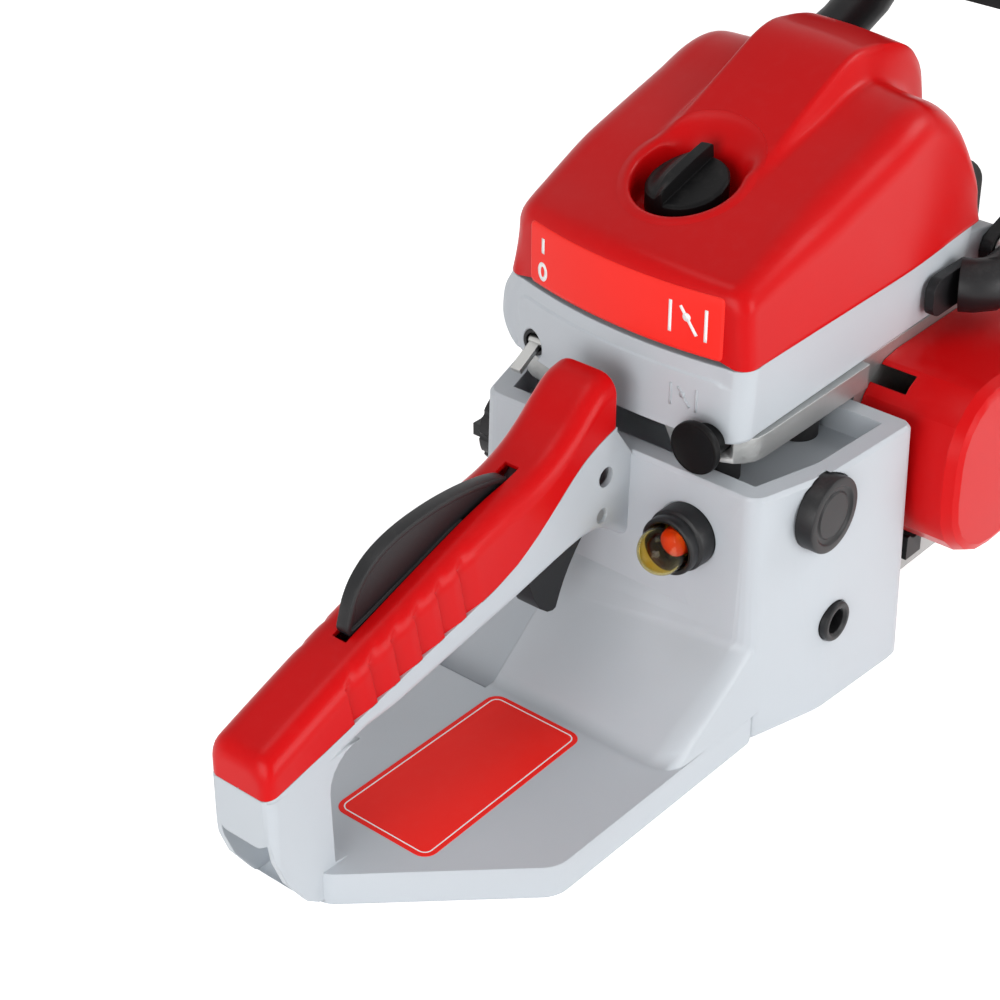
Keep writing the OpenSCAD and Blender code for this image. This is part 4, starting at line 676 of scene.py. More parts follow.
def cupRings():
    k = knobOptions
    turns = k["cupTurns"]
    rings = []
    for (distance, rise), fall in zip(cupProfile, scoopRises):
        ring = []
        for i in range(turns):
            x, y, soft = cupPoint(distance, 2 * math.pi * i / turns)
            lift = rise * (1 - soft) + fall * soft
            ring.append((x, y, max(coverHeight(x, y) + lift, k["seat"] + 1)))
        rings.append([bowCover(point) for point in ring])
    fillet = k["seat"] + cupFloor[0][0]
    edge = [point[2] for point in rings[-1]]
    lower = [(inset, [z + (fillet - z) * share for z in edge]) for share, inset in cupWall]
    lower += [(inset, [k["seat"] + height] * turns) for height, inset in cupFloor]
    for inset, heights in lower:
        spots = circle(k["axis"], k["cupRadius"] - inset, turns)
        rings.append([bowCover((x, y, z)) for (x, y), z in zip(spots, heights)])
    return rings


def buildCover():
    o = coverOptions
    rings = [coverRing(x) for x in coverStations()]
    vertices, faces = joinRings(rings, closed=False)
    count = len(rings[0])
    axis = Vector(knobOptions["axis"])

    def holeReach(point):
        arm = Vector(point[:2]) - axis
        x, y, _ = cupPoint(cupProfile[0][0], math.atan2(arm.y, arm.x))
        return arm.length, (Vector((x, y)) - axis).length

    gone = []
    keep = []
    for face in faces:
        middle = sum((Vector(vertices[i]) for i in face), Vector()) / 4
        length, reach = holeReach(middle)
        (gone if length < reach and middle.z > o["holeAbove"] else keep).append(face)
    border = {i for face in gone for i in face} & {i for face in keep for i in face}
    for i in border:  # the hole's ragged edge is drawn onto the cup's outer ring
        length, reach = holeReach(vertices[i])
        spot = axis + (Vector(vertices[i][:2]) - axis) * reach / length
        vertices[i] = (spot.x, spot.y, coverHeight(spot.x, spot.y))
    for first, height in zip((0, len(vertices) - count), o["endCentres"]):
        centre = Vector((vertices[first][0], 0, height))
        last = fillEnd(vertices, keep, first, count, centre, o["endLevels"], o["endReach"])
        keep.append(tuple(range(last, last + count)))
    return mergeShapes([([bowCover(point) for point in vertices], keep), joinRings(cupRings())])


makePiece("topCoverShell", buildCover(), "red_plastic", "top_cover", angle=50)
print("top cover built")


# label, marks and sticker: thin films

labelOptions = {
    "left": 51,
    "right": -53.0,
    "low": 169.4,
    "high": 197.2,
    "corner": 2.2,
    "lineMark": (42.7, 184.7, 191.6, 1.9),
    "ringMark": (42.9, 176.3),
    "ringOuter": (3.1, 4.3),
    "ringInner": (1.2, 2.4),
    "chokeMark": (-36.9, 183.3, 1.0),
    "raisedMark": (-36.8, 149, 0.72),
    "thick": 0.08,
    "raisedThick": 0.35,
    "lift": 0.1,
    "markLift": 0.2,
    "raisedLift": 1.05,
    "markGrid": 2.5,
}


def rearSurface(y, z):
    # x of the cover's or the housing's rear face
    o = coverOptions
    if z <= o["base"]:
        return rearFace(y)
    half = coverHalf(o["rear"])
    depth = min(coverHeight(o["rear"], clamp(y, 13 - half, half - 13)) - z, half - abs(y))
    return coverRear(y) + roundInset(o["endRound"], depth)


def patchOnRear(outline, lift, step=1.5):
    # an outline in y and z, cut into a grid and laid on the rear face
    work = bmesh.new()
    work.faces.new([work.verts.new((0, y, z)) for y, z in outline])
    for axis in (0, 1):
        normal = Vector((0, 1 - axis, axis))
        place = min(p[axis] for p in outline) + step
        while place < max(p[axis] for p in outline) - 0.2:
            bmesh.ops.bisect_plane(work, geom=work.verts[:] + work.edges[:] + work.faces[:], plane_co=normal * place,
                                   plane_no=normal)
            place += step
    vertices = [(rearSurface(v.co.y, v.co.z) - lift, v.co.y, v.co.z) for v in work.verts]
    work.verts.index_update()
    faces = [tuple(v.index for v in face.verts) for face in work.faces]
    work.free()
    return vertices, faces


def filmPiece(name, patches, finish, slot, thickness):
    piece = makePiece(name, mergeShapes(patches), slot, finish=finish, turnOut=False)
    total = sum((face.normal * face.area for face in piece.data.polygons), Vector())
    if total.dot(Vector((-1, 0, 0.6))) < 0:  # the film faces the operator
        piece.data.flip_normals()
    addWall(piece, thickness)


def strip(start, end, width):
    a = Vector(start)
    b = Vector(end)
    side = (b - a).normalized().orthogonal() * width / 2
    return [tuple(a - side), tuple(b - side), tuple(b + side), tuple(a + side)]


def ellipseRing(centre, outer, inner, count=28):
    # two open halves of a ring, as outlines
    halves = []
    for first in (0, 1):
        turns = [math.pi * (first + 2 * k / count) for k in range(count // 2 + 1)]
        halves.append([(centre[0] + reach[0] * math.cos(t), centre[1] + reach[1] * math.sin(t))
                       for reach, way in ((outer, turns), (inner, turns[::-1])) for t in way])
    return halves


def chokeSign(y, z, size):
    # two uprights with a butterfly valve between them
    bars = [((8.3, -7), (8.3, 7)), ((-8.3, -7.2), (-8.3, 7)), ((3.6, 5.8), (-4.2, -5.6))]
    ends = [[(y + a * size, z + b * size) for a, b in bar] for bar in bars]
    return [strip(start, end, 1.5 * size) for start, end in ends] + [
        circle((y + 0.6 * size, z + 1.4 * size), 1.9 * size, 20)]


def buildLabels():
    o = labelOptions
    corners = [(o["left"], o["low"]), (o["left"], o["high"]), (o["right"], o["high"]), (o["right"], o["low"])]
    filmPiece("coverLabel", [patchOnRear(roundedOutline(corners, o["corner"], 4), o["lift"])], labelFinish,
              "red_plastic", o["thick"])
    y, low, high, width = o["lineMark"]
    marks = [strip((y, low), (y, high), width)] + ellipseRing(o["ringMark"], o["ringOuter"], o["ringInner"])
    marks += chokeSign(*o["chokeMark"])
    films = [patchOnRear(outline, o["markLift"], o["markGrid"]) for outline in marks]
    filmPiece("labelMarks", films, printFinish, "grey_plastic", o["thick"])
    films = [patchOnRear(outline, o["raisedLift"], o["markGrid"]) for outline in chokeSign(*o["raisedMark"])]
    filmPiece("raisedChokeSign", films, finishes["grey_plastic"], "grey_plastic", o["raisedThick"])


buildLabels()
print("label and marks laid")

stickerOptions = {
    "corners": ((-57, -39), (-57, 9), (-157, 9), (-157, -41.5)),
    "corner": 6,
    "height": 15.02,
    "thick": 0.12,
    "lineInset": 2.2,
    "lineWidth": 0.55,
    "lineRise": 0.05,
    "lineSunk": 0.02,
}


def buildSticker():
    o = stickerOptions
    outline = roundedOutline(o["corners"], o["corner"], 6)
    top = o["height"] + o["thick"]
    vertices, faces = joinRings([[(x, y, o["height"]) for x, y in outline],
                                 [(x, y, top) for x, y in insetOutline(outline, 0.1)]])
    faces.append(tuple(range(len(outline), len(vertices))))
    makePiece("plateSticker", (vertices, faces), "red_plastic", finish=stickerFinish)
    near = o["lineInset"]
    far = near + o["lineWidth"]
    low = top - o["lineSunk"]
    high = top + o["lineRise"]
    rings = [[(x, y, z) for x, y in insetOutline(outline, inset)]
             for inset, z in ((near, low), (near, high), (far, high), (far, low))]
    makePiece("stickerLine", joinRings(rings), "grey_plastic", finish=printFinish)


buildSticker()


# cover knob: a disc with a sloping top and a tall bar

def knobTop(x, y):
    k = knobOptions
    dx = x - k["axis"][0]
    dy = y - k["axis"][1]
    bar = k["barWidth"]
    if dy < 0:
        rise = smoothStep((dy + 0.5) / 0.5)
    elif dy < bar:
        rise = 1.0
    else:
        rise = (1 - smoothStep((dy - bar) / k["skirt"])) * 0.92 + 0.08 * (1 - smoothStep((dy - bar) / 0.8))
    edge = math.hypot(dx, dy) / k["radius"]
    far = smoothStep((dx - 2) / 8) if dy <= bar else 0.0
    rise *= 1 - 0.7 * smoothStep(dy / bar) * smoothStep((edge - 0.5) / 0.5) * (1 - far)
    level = k["middle"] + dx * k["slope"]
    return level + k["barHeight"] * rise * (1 - 0.12 * (dx / k["radius"]) ** 2) - smoothStep((edge - 0.93) / 0.07)


def buildKnob():
    k = knobOptions
    cx, cy = k["axis"]
    radius = k["radius"]
    bar = k["barWidth"]
    ys = spread(-radius + 0.01, -1.2, 18) + [-0.8, -0.5, -0.25, 0.0, 0.3] + spread(0.8, bar - 0.3, 5)
    ys += [bar, bar + 0.4, bar + 0.9] + spread(bar + 1.6, radius - 0.01, 15)
    columns = []
    for dy in ys:
        half = math.sqrt(radius ** 2 - dy ** 2)
        spots = [(cx + half * math.sin(math.pi / 2 * t), cy + dy) for t in spread(-1, 1, 41)]
        columns.append([(x, y, knobTop(x, y)) for x, y in spots])
    vertices, faces = joinRings(columns, closed=False)
    size = len(columns[0])
    corner = len(vertices) - size
    before = list(range(0, corner, size)) + list(range(corner, len(vertices)))
    before += list(range(corner - 1, size - 2, -size)) + list(range(size - 2, 0, -1))
    border = [vertices[i] for i in before]
    for low, inset in ((None, 0.0), (3.0, 0.0), (0.9, 0.0), (0.3, 0.5)):
        start = len(vertices)
        pull = 1 - inset / radius
        vertices += [(cx + (x - cx) * pull, cy + (y - cy) * pull, z - 1.2 if low is None else k["seat"] + low)
                     for x, y, z in border]
        after = list(range(start, len(vertices)))
        faces += [(before[i - 1], before[i], after[i], after[i - 1]) for i in range(len(border))]
        before = after
    faces.append(tuple(before))
    return vertices, faces


makePiece("coverKnobTop", buildKnob(), "black_plastic", "cover_knob", finish=knobFinish, angle=38)
print("sticker and cover knob built")


# grip cover: an arched shell with finger grooves and the blade's slot

gripOptions = {
    "front": -10,
    "rear": -214,
    "half": 16,
    "round": 9,
    "endRound": 5,
    "frontRound": 1.3,
    "wall": 2.2,
    "gap": 0.25,
    "slot": (-158, -57),
    "slotHalf": 3.6,
    "slotEase": 6,
    "grooves": 6,
    "grooveStart": -105,
    "grooveStep": 12.85,
    "grooveLength": 9.2,
    "grooveDepth": 1.7,
    "grooveRows": (-2.0, -0.12, 0.0, 1.8, 3.6, 5.4, 7.2, 8.6, 9.2),
    "frontRows": (1.3, 0.7, 0.3, 0.0),
    "crestLow": 22,
    "crestRise": 38,
    "lean": math.tan(math.radians(11)),
    "leanFrom": -200,
    "leanTo": -75,
    "leanBlend": 15,
    "endLevels": 8,
    "endReach": 8.3,
    "smoothAngle": 30,
}
gripTop = [(-214, 80), (-208, 83), (-171, 97), (-138, 108.5), (-100, 121), (-80, 126.5), (-61, 130.5), (-48, 135.5),
           (-36, 143), (-27, 150.5), (-19, 156), (-10, 158)]
gripJoint = [(-214, 64), (-169, 74.5), (-118, 86.6), (-76, 97), (-58, 107), (-31, 126.5), (-10, 134), (0, 134)]


def grooveDepth(place, angle):
    # depth of the groove at a place along the grip, and up its shoulder in degrees
    o = gripOptions
    for k in range(o["grooves"]):
        ahead = place - (o["grooveStart"] - k * o["grooveStep"])
        if 0 <= ahead < o["grooveLength"]:
            crest = o["crestLow"] + o["crestRise"] * smoothStep(ahead / (o["grooveLength"] * 0.85))
            fade = 1 - smoothStep((angle - crest + 9) / 12)
            return o["grooveDepth"] * (1 - ahead / o["grooveLength"]) * fade
    return 0.0


def gripStations():
    o = gripOptions
    places = [o["rear"] + o["endRound"] * (1 - math.cos(math.radians(15 * k))) for k in range(7)]
    places += spread(-206, -186, 9)
    for k in range(o["grooves"]):
        step = o["grooveStart"] - k * o["grooveStep"]
        places += [step + row for row in o["grooveRows"]]
    places += spread(-93, o["front"] - 2, 38)
    places += [o["front"] - row for row in o["frontRows"]]
    low, high = o["slot"]
    return sorted([p for p in places if min(abs(p - low), abs(p - high)) > 0.6] + [low, high])


def gripRing(place):
    # the ring leans with the grooves; its points run from one joint edge over the top to the other
    o = gripOptions
    inset = max(roundInset(o["endRound"], place - o["rear"]), roundInset(o["frontRound"], o["front"] - place))
    blend = o["leanBlend"]
    leaning = smoothStep((place - o["leanFrom"]) / blend) * smoothStep((o["leanTo"] - place) / blend)
    joint = curveAt(gripJoint, place)
    low = joint + o["gap"]
    half = o["half"] - inset
    side = []
    for share, angle in [(s, None) for s in (0.0, 0.06, 0.2, 0.4, 0.6, 0.8, 0.94)] + [(1, 9 * k) for k in range(11)]:
        turn = math.radians(angle or 0)
        x = place
        for _ in range(3):  # the lean depends on the height, and the height on the lean
            top = curveAt(gripTop, clamp(x, o["rear"], o["front"])) - inset
            edge = max(1.0, min(o["round"] - inset * 0.5, top - joint - 1))
            if angle is None:
                y = half
                z = low + (top - edge - low) * share
            else:
                y = half - edge + edge * math.cos(turn)
                z = top - edge + edge * math.sin(turn)
            x = place - o["lean"] * leaning * (z - joint - 10)
        dig = grooveDepth(place, angle or 0)
        side.append((x, y - dig * math.cos(turn), z - dig * math.sin(turn)))
    x, y, z = side[-1]
    slot = o["slotHalf"]
    side += [(x, (y + slot) / 2, z + 0.02), (x, slot, z + 0.04)]
    return side + [(x, 0.0, z + 0.04)] + [(x, -y, z) for x, y, z in side[::-1]]


def buildGripCover():
    o = gripOptions
    low, high = o["slot"]
    stations = gripStations()
    rings = [gripRing(place) for place in stations]
    count = len(rings[0])
    middle = count // 2
    for place, ring in zip(stations, rings):  # the slot's ends stand square
        share = max(0.0, 1 - min(abs(place - low), abs(place - high)) / o["slotEase"])
        for j in range(middle - 2, middle + 3):
            x, y, z = ring[j]
            shift = (place - x) * share
            ring[j] = (x + shift, y, z + shift * 0.3)
    vertices, faces = joinRings(rings, closed=False)

    def inSlot(face):
        k, i = divmod(face[0], count)
        return low <= stations[k] and stations[k + 1] <= high and middle - 1 <= i <= middle

    faces = [face for face in faces if not inSlot(face)]
    x, _, z = vertices[0]
    fillEnd(vertices, faces, 0, count, Vector((x, 0, z)), o["endLevels"], o["endReach"])
    return vertices, faces


gripCover = makePiece("gripCoverShell", buildGripCover(), "red_plastic", "grip_cover",
                      angle=gripOptions["smoothAngle"])
addWall(gripCover, gripOptions["wall"])
smoothShading(gripCover, gripOptions["smoothAngle"])
print("grip cover built")


# throttle lockout: a blade with a raised rim

lockoutOptions = {
    "half": 3,
    "rim": 2.4,
    "sunk": 1.0,
    "bevel": 0.5,
}
lockoutLine = [(-63, 114), (-60, 121.5), (-62.5, 129), (-69, 132.2), (-80, 134.6), (-92, 136), (-106, 136.4),
               (-120, 135.4), (-131, 133.2), (-140.5, 129.4), (-148, 123.6), (-152.6, 117), (-155.1, 110),
               (-156.2, 104), (-150, 102.5), (-120, 111.5), (-90, 120.5), (-76, 117)]


def smoothLoop(points, count):
    # closed smooth curve through points
    total = len(points)
    result = []
    for i in range(total):
        a, b, c, d = (Vector(points[(i + k) % total]) for k in (-1, 0, 1, 2))
        for k in range(count):
            t = k / count
            result.append(tuple(0.5 * (2 * b + (c - a) * t + (2 * a - 5 * b + 4 * c - d) * t * t
                                       + (3 * b - a - 3 * c + d) * t ** 3)))
    return result


def buildLockout():
    o = lockoutOptions
    half = o["half"]
    rim = o["rim"]
    outline = smoothLoop(lockoutLine, 4)
    steps = [(rim + 0.35, half - o["sunk"]), (rim, half - 0.1), (rim - 0.25, half), (o["bevel"], half),
             (0.12, half - 0.15)]
    rows = [(insetOutline(outline, inset), y) for inset, y in steps] + [(outline, half - o["bevel"])]
    rings = [[(x, y, z) for x, z in ring] for ring, y in rows]
    rings += [[(x, -y, z) for x, z in ring] for ring, y in rows[::-1]]
    return joinRings(rings, capped=True)


makePiece("lockoutBlade", buildLockout(), "black_plastic", "throttle_lockout", angle=30)
print("throttle lockout built")


# primer: stepped ring, thin bulb and the valve behind it

primerOptions = {
    "centre": (-46.6, 91.2),
    "ring": 28,
    "bulb": 20.4,
    "bulbGap": 0.3,
    "bulbWall": 1.1,
    "bulbFoot": -3,
    "bulbShoulder": -12,
    "baseLow": -8.8,
    "baseHigh": -14.8,
    "reach": -18,
}
valveProfile = [(4.5, 4), (-5, 4), (-5, 6.2), (-7.5, 6.6), (-10.5, 6.2), (-11.6, 4.6), (-12, 2.6), (-12.2, 0.5)]


def buildPrimer():
    o = primerOptions
    outer = o["ring"] / 2
    radius = o["bulb"] / 2
    hole = radius + o["bulbGap"]
    low = o["baseLow"]
    high = o["baseHigh"]
    profile = [(6.5, outer - 2), (0.3, outer - 2), (0.3, outer), (low + 1.2, outer), (low + 0.4, outer - 0.25),
               (low, outer - 0.9), (low - 0.5, outer - 1.4), (low - 1.2, outer - 1.3), (low - 1.8, outer - 1.05),
               (high + 1.3, outer - 1.05), (high + 0.5, outer - 1.25), (high, outer - 1.9), (high, hole + 0.9),
               (high + 0.3, hole + 0.3), (high + 1, hole), (4.5, hole), (4.5, 6), (6.5, 6), (6.5, outer - 2)]
    makePiece("primerRing", turnedShape(profile, o["centre"]), "black_plastic", "primer_base")
    foot = o["bulbFoot"]
    inner = radius - o["bulbWall"]
    domes = []
    for reach in (radius, inner):
        dome = [(o["reach"] - reach * math.sin(t), reach * math.cos(t)) for t in spread(0, math.pi / 2 * 0.985, 18)]
        domes.append([(o["bulbShoulder"], reach)] + dome + [(dome[-1][0] - 0.02, 0.05)])
    profile = [(foot, inner), (foot, radius)] + domes[0] + domes[1][::-1] + [(foot, inner)]
    makePiece("primerBulbClear", turnedShape(profile, o["centre"]), "clear_bulb", "primer_bulb", angle=60)
    makePiece("primerValveCup", turnedShape(valveProfile, o["centre"]), "black_plastic", "primer_valve",
              finish=valveFinish, angle=40)


buildPrimer()
print("primer built")


# intake housing: a lofted shell with a bowed rear, a raised panel, and ears for the hand guard

housingOptions = {
    "low": 133.4,
    "high": 166.9,
    "front": 196,
    "rightSide": [(133, 63.2), (150, 63.8), (167, 64.6)],
    "leftSide": [(133, 68), (137, 73), (142, 76), (150, 76),
                 (157, 74.2), (163, 70.4), (167, 67.8)],
    "rightRound": 10,
    "leftRound": 11,
    "frontRound": 14,
    "taper": 8,
    "taperFrom": 90,
    "taperLength": 100,
    "lowEase": 0.8,
    "panel": (-57.5, 60, 160.5, 8),
    "panelDepth": 0.8,
    "switch": (49.5, 139.5),
    "switchRadius": 6.1,
    "switchLip": 1.2,
    "ear": (206, 150),
    "earRadius": 9,
    "earFoot": (180, 14),
    "earSides": (50, 58.6),
    "earBevel": 0.6,
}


def panelRise(y, z):
    right, left, top, radius = housingOptions["panel"]
    dy = max(right + radius - y, y - (left - radius), 0)
    dz = max(z - (top - radius), 0)
    return housingOptions["panelDepth"] * smoothStep((radius - math.hypot(dy, dz)) / 0.7)


def housingRing(z):
    # from the left end of the rear face round by the right side
    o = housingOptions
    lost = o["lowEase"] * (1 - smoothStep((z - o["low"]) / 1.2))
    right = curveAt(o["rightSide"], z) - lost
    left = curveAt(o["leftSide"], z) - lost
    front = o["front"]
    corner = front - o["frontRound"]
    start = rearFace(o["rightRound"] - right)
    end = rearFace(left - o["leftRound"])
    ring = [(rearFace(y) - panelRise(y, z), y) for y in spread(left - o["leftRound"], o["rightRound"] - right, 90)]
    ring += arc((start + 9.4, o["rightRound"] - right), o["rightRound"], 200, 270, 11)
    ring += [(x, -right + 4 * x / front) for x in spread(start + 13, front - 16, 16)]
    ring += arc((corner, 18 - right), o["frontRound"], -90, 0, 11)
    ring += [(front, y) for y in spread(22 - right, left - 26, 10)]
    ring += arc((corner, left - o["taper"] - o["frontRound"]), o["frontRound"], 0, 90, 11)
    ring += [(x, left - o["taper"] * smoothStep((x - o["taperFrom"]) / o["taperLength"]))
             for x in spread(corner - 3, end + 16, 22)]
    ring += arc((end + 11, left - o["leftRound"]), o["leftRound"], 92, 172, 11)
    return [(x, y, z) for x, y in ring]


def cutWith(piece, shape):
    mesh = makeMesh("tool", *shape)
    cleanMesh(mesh)
    tool = addObject("tool", mesh)
    cut = piece.modifiers.new("cut", "BOOLEAN")
    cut.object = tool
    cut.solver = "EXACT"
    applyModifiers(piece)
    bpy.data.objects.remove(tool)
    bpy.data.meshes.remove(mesh)


def buildHousing():
    o = housingOptions
    low = o["low"]
    levels = [low, low + 0.3, low + 0.7] + spread(low + 1.3, 150, 18) + spread(151, 163, 26)
    levels += [164, 165, 166, 166.6, o["high"]]
    rings = [housingRing(z) for z in levels]
    rings.append([(x + (0.6 if x < 100 else -0.6), y * 0.992, z + 0.15) for x, y, z in rings[-1]])
    piece = makePiece("intakeHousingShell", joinRings(rings, capped=True), "grey_plastic", "intake_housing")
    radius = o["switchRadius"]
    wide = radius + o["switchLip"]
    face = rearFace(o["switch"][0])
    hole = [(-10, wide), (face - 0.5, wide), (face + 1.2, radius), (face + 14, radius)]
    cutWith(piece, turnedShape(hole, o["switch"], 40))
    smoothShading(piece, 35)


def buildEars():
    o = housingOptions
    x, z = o["ear"]
    foot, reach = o["earFoot"]
    bevel = o["earBevel"]
    near, far = o["earSides"]
    outline = [(foot, z - reach)] + arc((x, z), o["earRadius"], -90, 90, 17) + [(foot, z + reach)]
    inner = insetOutline(outline, bevel)
    for name, low, high in (("guardEarLeft", near, far), ("guardEarRight", -far, -near)):
        rows = ((inner, low), (outline, low + bevel), (outline, high - bevel), (inner, high))
        rings = [[(x, y, z) for x, z in line] for line, y in rows]
        makePiece(name, joinRings(rings, capped=True), "grey_plastic")


buildHousing()
buildEars()
print("intake housing built")


# mounting plug and bush in the tank's right side

plugOptions = {
    "centre": (36, 101.2),
    "radius": 16.9,
    "in": -85.6,
    "out": -93.9,
    "bushCentre": (45, 44),
    "bushRadius": 9,
}


def buildPlugs():
    o = plugOptions
    r = o["radius"]
    y = o["out"]
    plug = [(o["in"], r), (y + 0.9, r), (y + 0.3, r - 0.25), (y, r - 0.9), (y + 0.05, r - 3.6), (y + 0.7, r - 4.2),
            (y + 1.1, r - 4.9), (y + 1.1, r - 6.2), (y + 0.5, r - 6.9), (y + 0.4, 3), (y + 0.4, 0.1)]
    b = o["bushRadius"]
    bush = [(-86.1, b), (-93.6, b), (-94.3, b - 0.5), (-94.5, b - 1.2), (-94.3, b - 2.2), (-93.2, b - 3.4),
            (-88.2, b - 3.6), (-88.0, 0.1)]
    shapes = [turnedShape(plug, o["centre"], 72, alongY=True), turnedShape(bush, o["bushCentre"], 48, alongY=True)]
    makePiece("tankPlugs", mergeShapes(shapes), "black_plastic", "mount_plugs", angle=30)


buildPlugs()


# choke knob: a dished disc on a shank

chokeOptions = {
    "centre": (-49, 133.3),
    "radius": 11.5,
    "collar": 7.5,
    "shank": 2,
}


def buildChoke():
    o = chokeOptions
    r = o["radius"]
    profile = [(32, o["shank"]), (16, o["shank"]), (16, o["collar"]), (1, o["collar"]), (0.9, r - 1), (0.5, r - 0.3),
               (-0.3, r), (-2.2, r), (-2.8, r - 0.3), (-3, r - 0.9), (-2.9, r - 1.6), (-2.5, r - 2.4), (-2.4, 0.1)]
    makePiece("chokeKnobDisc", turnedShape(profile, o["centre"]), "black_plastic", "choke_knob", finish=knobFinish)


buildChoke()
print("plugs and choke knob built")


# repeated parts: Geometry Nodes trees, each turned into a plain mesh

def startTree(name, inputs):
    shape = [("Geometry", "Geometry")]
    return newTree(name, "GeometryNodeTree", shape + inputs, shape)


def endTree(tree, out, geometry, finish):
    real = addNode(tree, "GeometryNodeRealizeInstances", {"Geometry": geometry})
    painted = addNode(tree, "GeometryNodeSetMaterial", {"Geometry": real.outputs[0], "Material": finish})
    setInputs(tree, out, {"Geometry": painted.outputs[0]})


def growPiece(name, tree, points, values, replaced=None):
    piece = addObject(name, makeMesh(name, points))
    grow = piece.modifiers.new("grow", "NODES")
    grow.node_group = tree
    for item in tree.interface.items_tree:
        if item.in_out == "INPUT" and item.name in values:
            grow[item.identifier] = values[item.name]
    applyModifiers(piece)
    smoothShading(piece, 30)
    settlePiece(piece, replaced)


def makeScrewTree(name, finish):
    # a chamfered head with a socket, its foot at each point
    tree, given, out = startTree(name, [
        ("Sides", "Int"), ("Head Radius", "Float"), ("Head Height", "Float"), ("Chamfer", "Float"),
        ("Socket Radius", "Float"), ("Socket Sides", "Int"), ("Shank Radius", "Float"), ("Shank Length", "Float"),
        ("Turn", "Vector")])

    def lift(solid, height):
        place = addNode(tree, "ShaderNodeCombineXYZ", {"Z": height})
        return addNode(tree, "GeometryNodeTransform", {"Geometry": solid.outputs[0],
                                                       "Translation": place.outputs[0]}).outputs[0]

    straight = addMath(tree, "SUBTRACT", given["Head Height"], given["Chamfer"])
    slim = addMath(tree, "SUBTRACT", given["Head Radius"], given["Chamfer"])
    head = addNode(tree, "GeometryNodeMeshCylinder", {
        "Vertices": given["Sides"], "Radius": given["Head Radius"], "Depth": straight})
    cap = addNode(tree, "GeometryNodeMeshCone", {
        "Vertices": given["Sides"], "Radius Bottom": given["Head Radius"], "Radius Top": slim,
        "Depth": given["Chamfer"]})
    shank = addNode(tree, "GeometryNodeMeshCylinder", {
        "Vertices": 24, "Radius": given["Shank Radius"], "Depth": given["Shank Length"]})
    socket = addNode(tree, "GeometryNodeMeshCylinder", {
        "Vertices": given["Socket Sides"], "Radius": given["Socket Radius"], "Depth": given["Head Height"]})
    body = addNode(tree, "GeometryNodeMeshBoolean", operation="UNION")
    for solid, height in ((head, addMath(tree, "MULTIPLY", straight, 0.5)), (cap, straight),
                          (shank, addMath(tree, "MULTIPLY", given["Shank Length"], -0.49))):
        tree.links.new(lift(solid, height), body.inputs["Mesh 2"])
    cut = addNode(tree, "GeometryNodeMeshBoolean", {
        "Mesh 1": body.outputs[0], "Mesh 2": lift(socket, given["Head Height"])})
    copies = addNode(tree, "GeometryNodeInstanceOnPoints", {
        "Points": given["Geometry"], "Instance": cut.outputs[0], "Rotation": given["Turn"]})
    endTree(tree, out, copies.outputs[0], finish)
    return tree


def makeRayTree(name, finish):
    # bars laid out round a centre
    tree, given, out = startTree(name, [
        ("Count", "Int"), ("Radius", "Float"), ("Bar Size", "Vector"), ("Turn", "Vector")])
    ring = addNode(tree, "GeometryNodeMeshCircle", {"Vertices": given["Count"], "Radius": given["Radius"]})
    bar = addNode(tree, "GeometryNodeMeshCube", {"Size": given["Bar Size"]})
    place = addNode(tree, "GeometryNodeInputPosition")
    lean = addNode(tree, "FunctionNodeAlignRotationToVector", {"Vector": place.outputs[0]}, axis="X")
    rays = addNode(tree, "GeometryNodeInstanceOnPoints", {
        "Points": ring.outputs[0], "Instance": bar.outputs[0], "Rotation": lean.outputs[0]})
    copies = addNode(tree, "GeometryNodeInstanceOnPoints", {
        "Points": given["Geometry"], "Instance": rays.outputs[0], "Rotation": given["Turn"]})
    endTree(tree, out, copies.outputs[0], finish)
    return tree


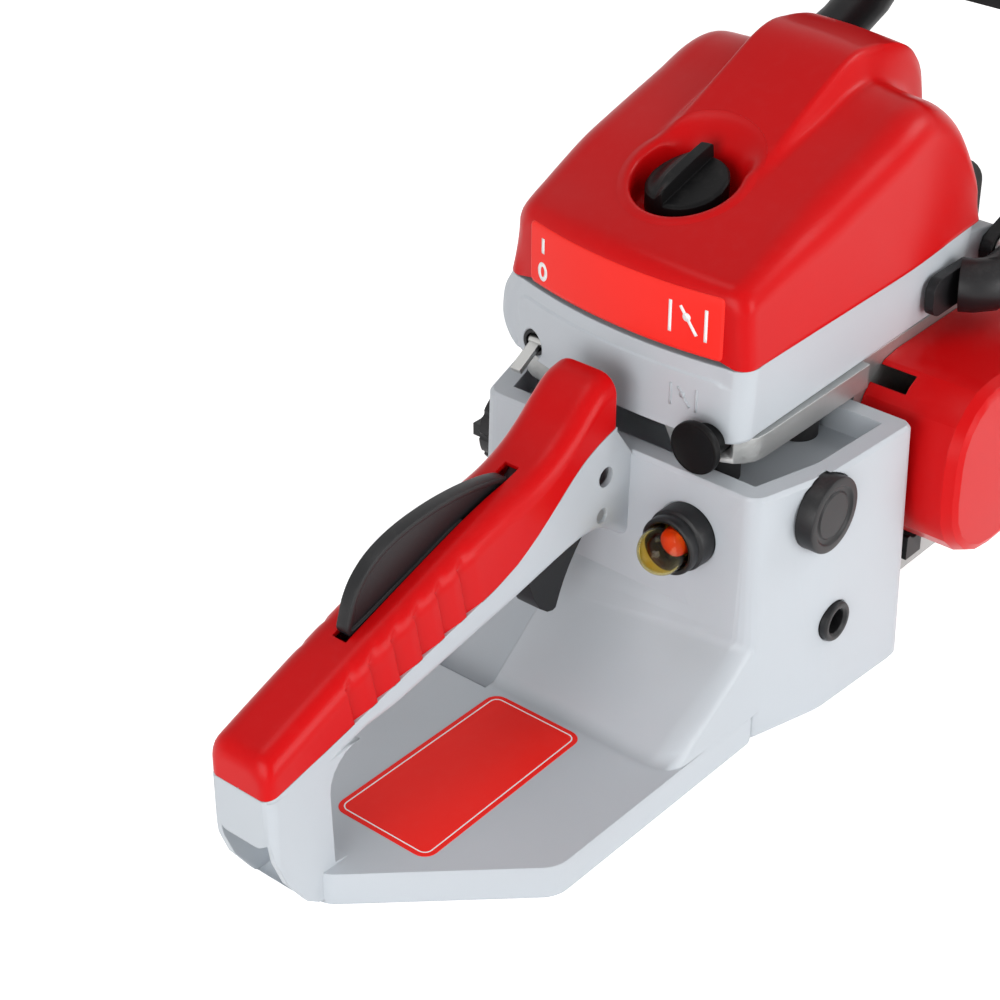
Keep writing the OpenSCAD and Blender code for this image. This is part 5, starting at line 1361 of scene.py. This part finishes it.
outward = (-math.pi / 2, 0, 0)
inward = (math.pi / 2, 0, 0)
screwOptions = {
    "handleFeet": [(132, 65, 17), (168, 65, 17)],
    "starterCorners": [(112, 105.2, 148), (183, 105.2, 148), (150, 105.2, 42.5)],
    "nutSeats": [(197, -112, 85), (219, -112, 85)],
    "hub": [(150, 105.9, 85)],
    "handleScrew": {"Sides": 40, "Head Radius": 4.5 * mm, "Head Height": 4 * mm, "Chamfer": 0.5 * mm,
                    "Socket Radius": 2.3 * mm, "Socket Sides": 6, "Shank Radius": 2.4 * mm,
                    "Shank Length": 16 * mm, "Turn": outward},
    "starterScrew": {"Sides": 40, "Head Radius": 4 * mm, "Head Height": 2 * mm, "Chamfer": 0.5 * mm,
                     "Socket Radius": 2.3 * mm, "Socket Sides": 6, "Shank Radius": 2.4 * mm,
                     "Shank Length": 6 * mm, "Turn": outward},
    "barNut": {"Sides": 6, "Head Radius": 7.5 * mm, "Head Height": 8 * mm, "Chamfer": 0.8 * mm,
               "Socket Radius": 4.1 * mm, "Socket Sides": 32, "Shank Radius": 9 * mm,
               "Shank Length": 0.5 * mm, "Turn": inward},
    "rays": {"Count": 24, "Radius": 46.5 * mm, "Bar Size": (6 * mm, 1.2 * mm, 1.6 * mm), "Turn": outward},
}


def buildScrews():
    o = screwOptions
    screwTree = makeScrewTree("socketScrew", finishes["steel"])
    growPiece("handleScrewHeads", screwTree, o["handleFeet"], o["handleScrew"], "handle_screws")
    growPiece("starterScrewHeads", screwTree, o["starterCorners"], o["starterScrew"])
    growPiece("barNutHeads", screwTree, o["nutSeats"], o["barNut"], "bar_nuts")
    growPiece("starterRays", makeRayTree("starterRays", finishes["red_plastic"]), o["hub"], o["rays"])


buildScrews()
print("repeated parts built")


# starter rope: braided, held taut between the pulley and the pull grip

ropeOptions = {
    "place": (174.25, 93),
    "low": 93,
    "high": 165,
    "radius": 1.75,
    "braid": 0.16,
    "strands": 6,
    "pitch": 7,
    "sides": 24,
    "rings": 108,
    "pathPoints": 19,
}


def buildRope():
    o = ropeOptions
    x, y = o["place"]
    rings = []
    for z in spread(o["low"], o["high"], o["rings"]):
        turn = 2 * math.pi * (z - o["low"]) / o["pitch"]
        ring = []
        for k in range(o["sides"]):
            angle = 2 * math.pi * k / o["sides"]
            radius = o["radius"] - o["braid"] * abs(math.sin(o["strands"] * (angle + turn) / 2))
            ring.append((x + radius * math.cos(angle), y + radius * math.sin(angle), z))
        rings.append(ring)
    piece = makePiece("starterRopeBraid", joinRings(rings, capped=True), "rope_fibre", "starter_rope", angle=50,
                      rides=False)
    grip = dressNode("starter_grip")
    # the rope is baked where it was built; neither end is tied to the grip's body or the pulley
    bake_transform(piece)


buildRope()
print("starter rope built")


for node in nodes:
    if node not in builtNodes:
        dressNode(node)
print("CAD pieces dressed")
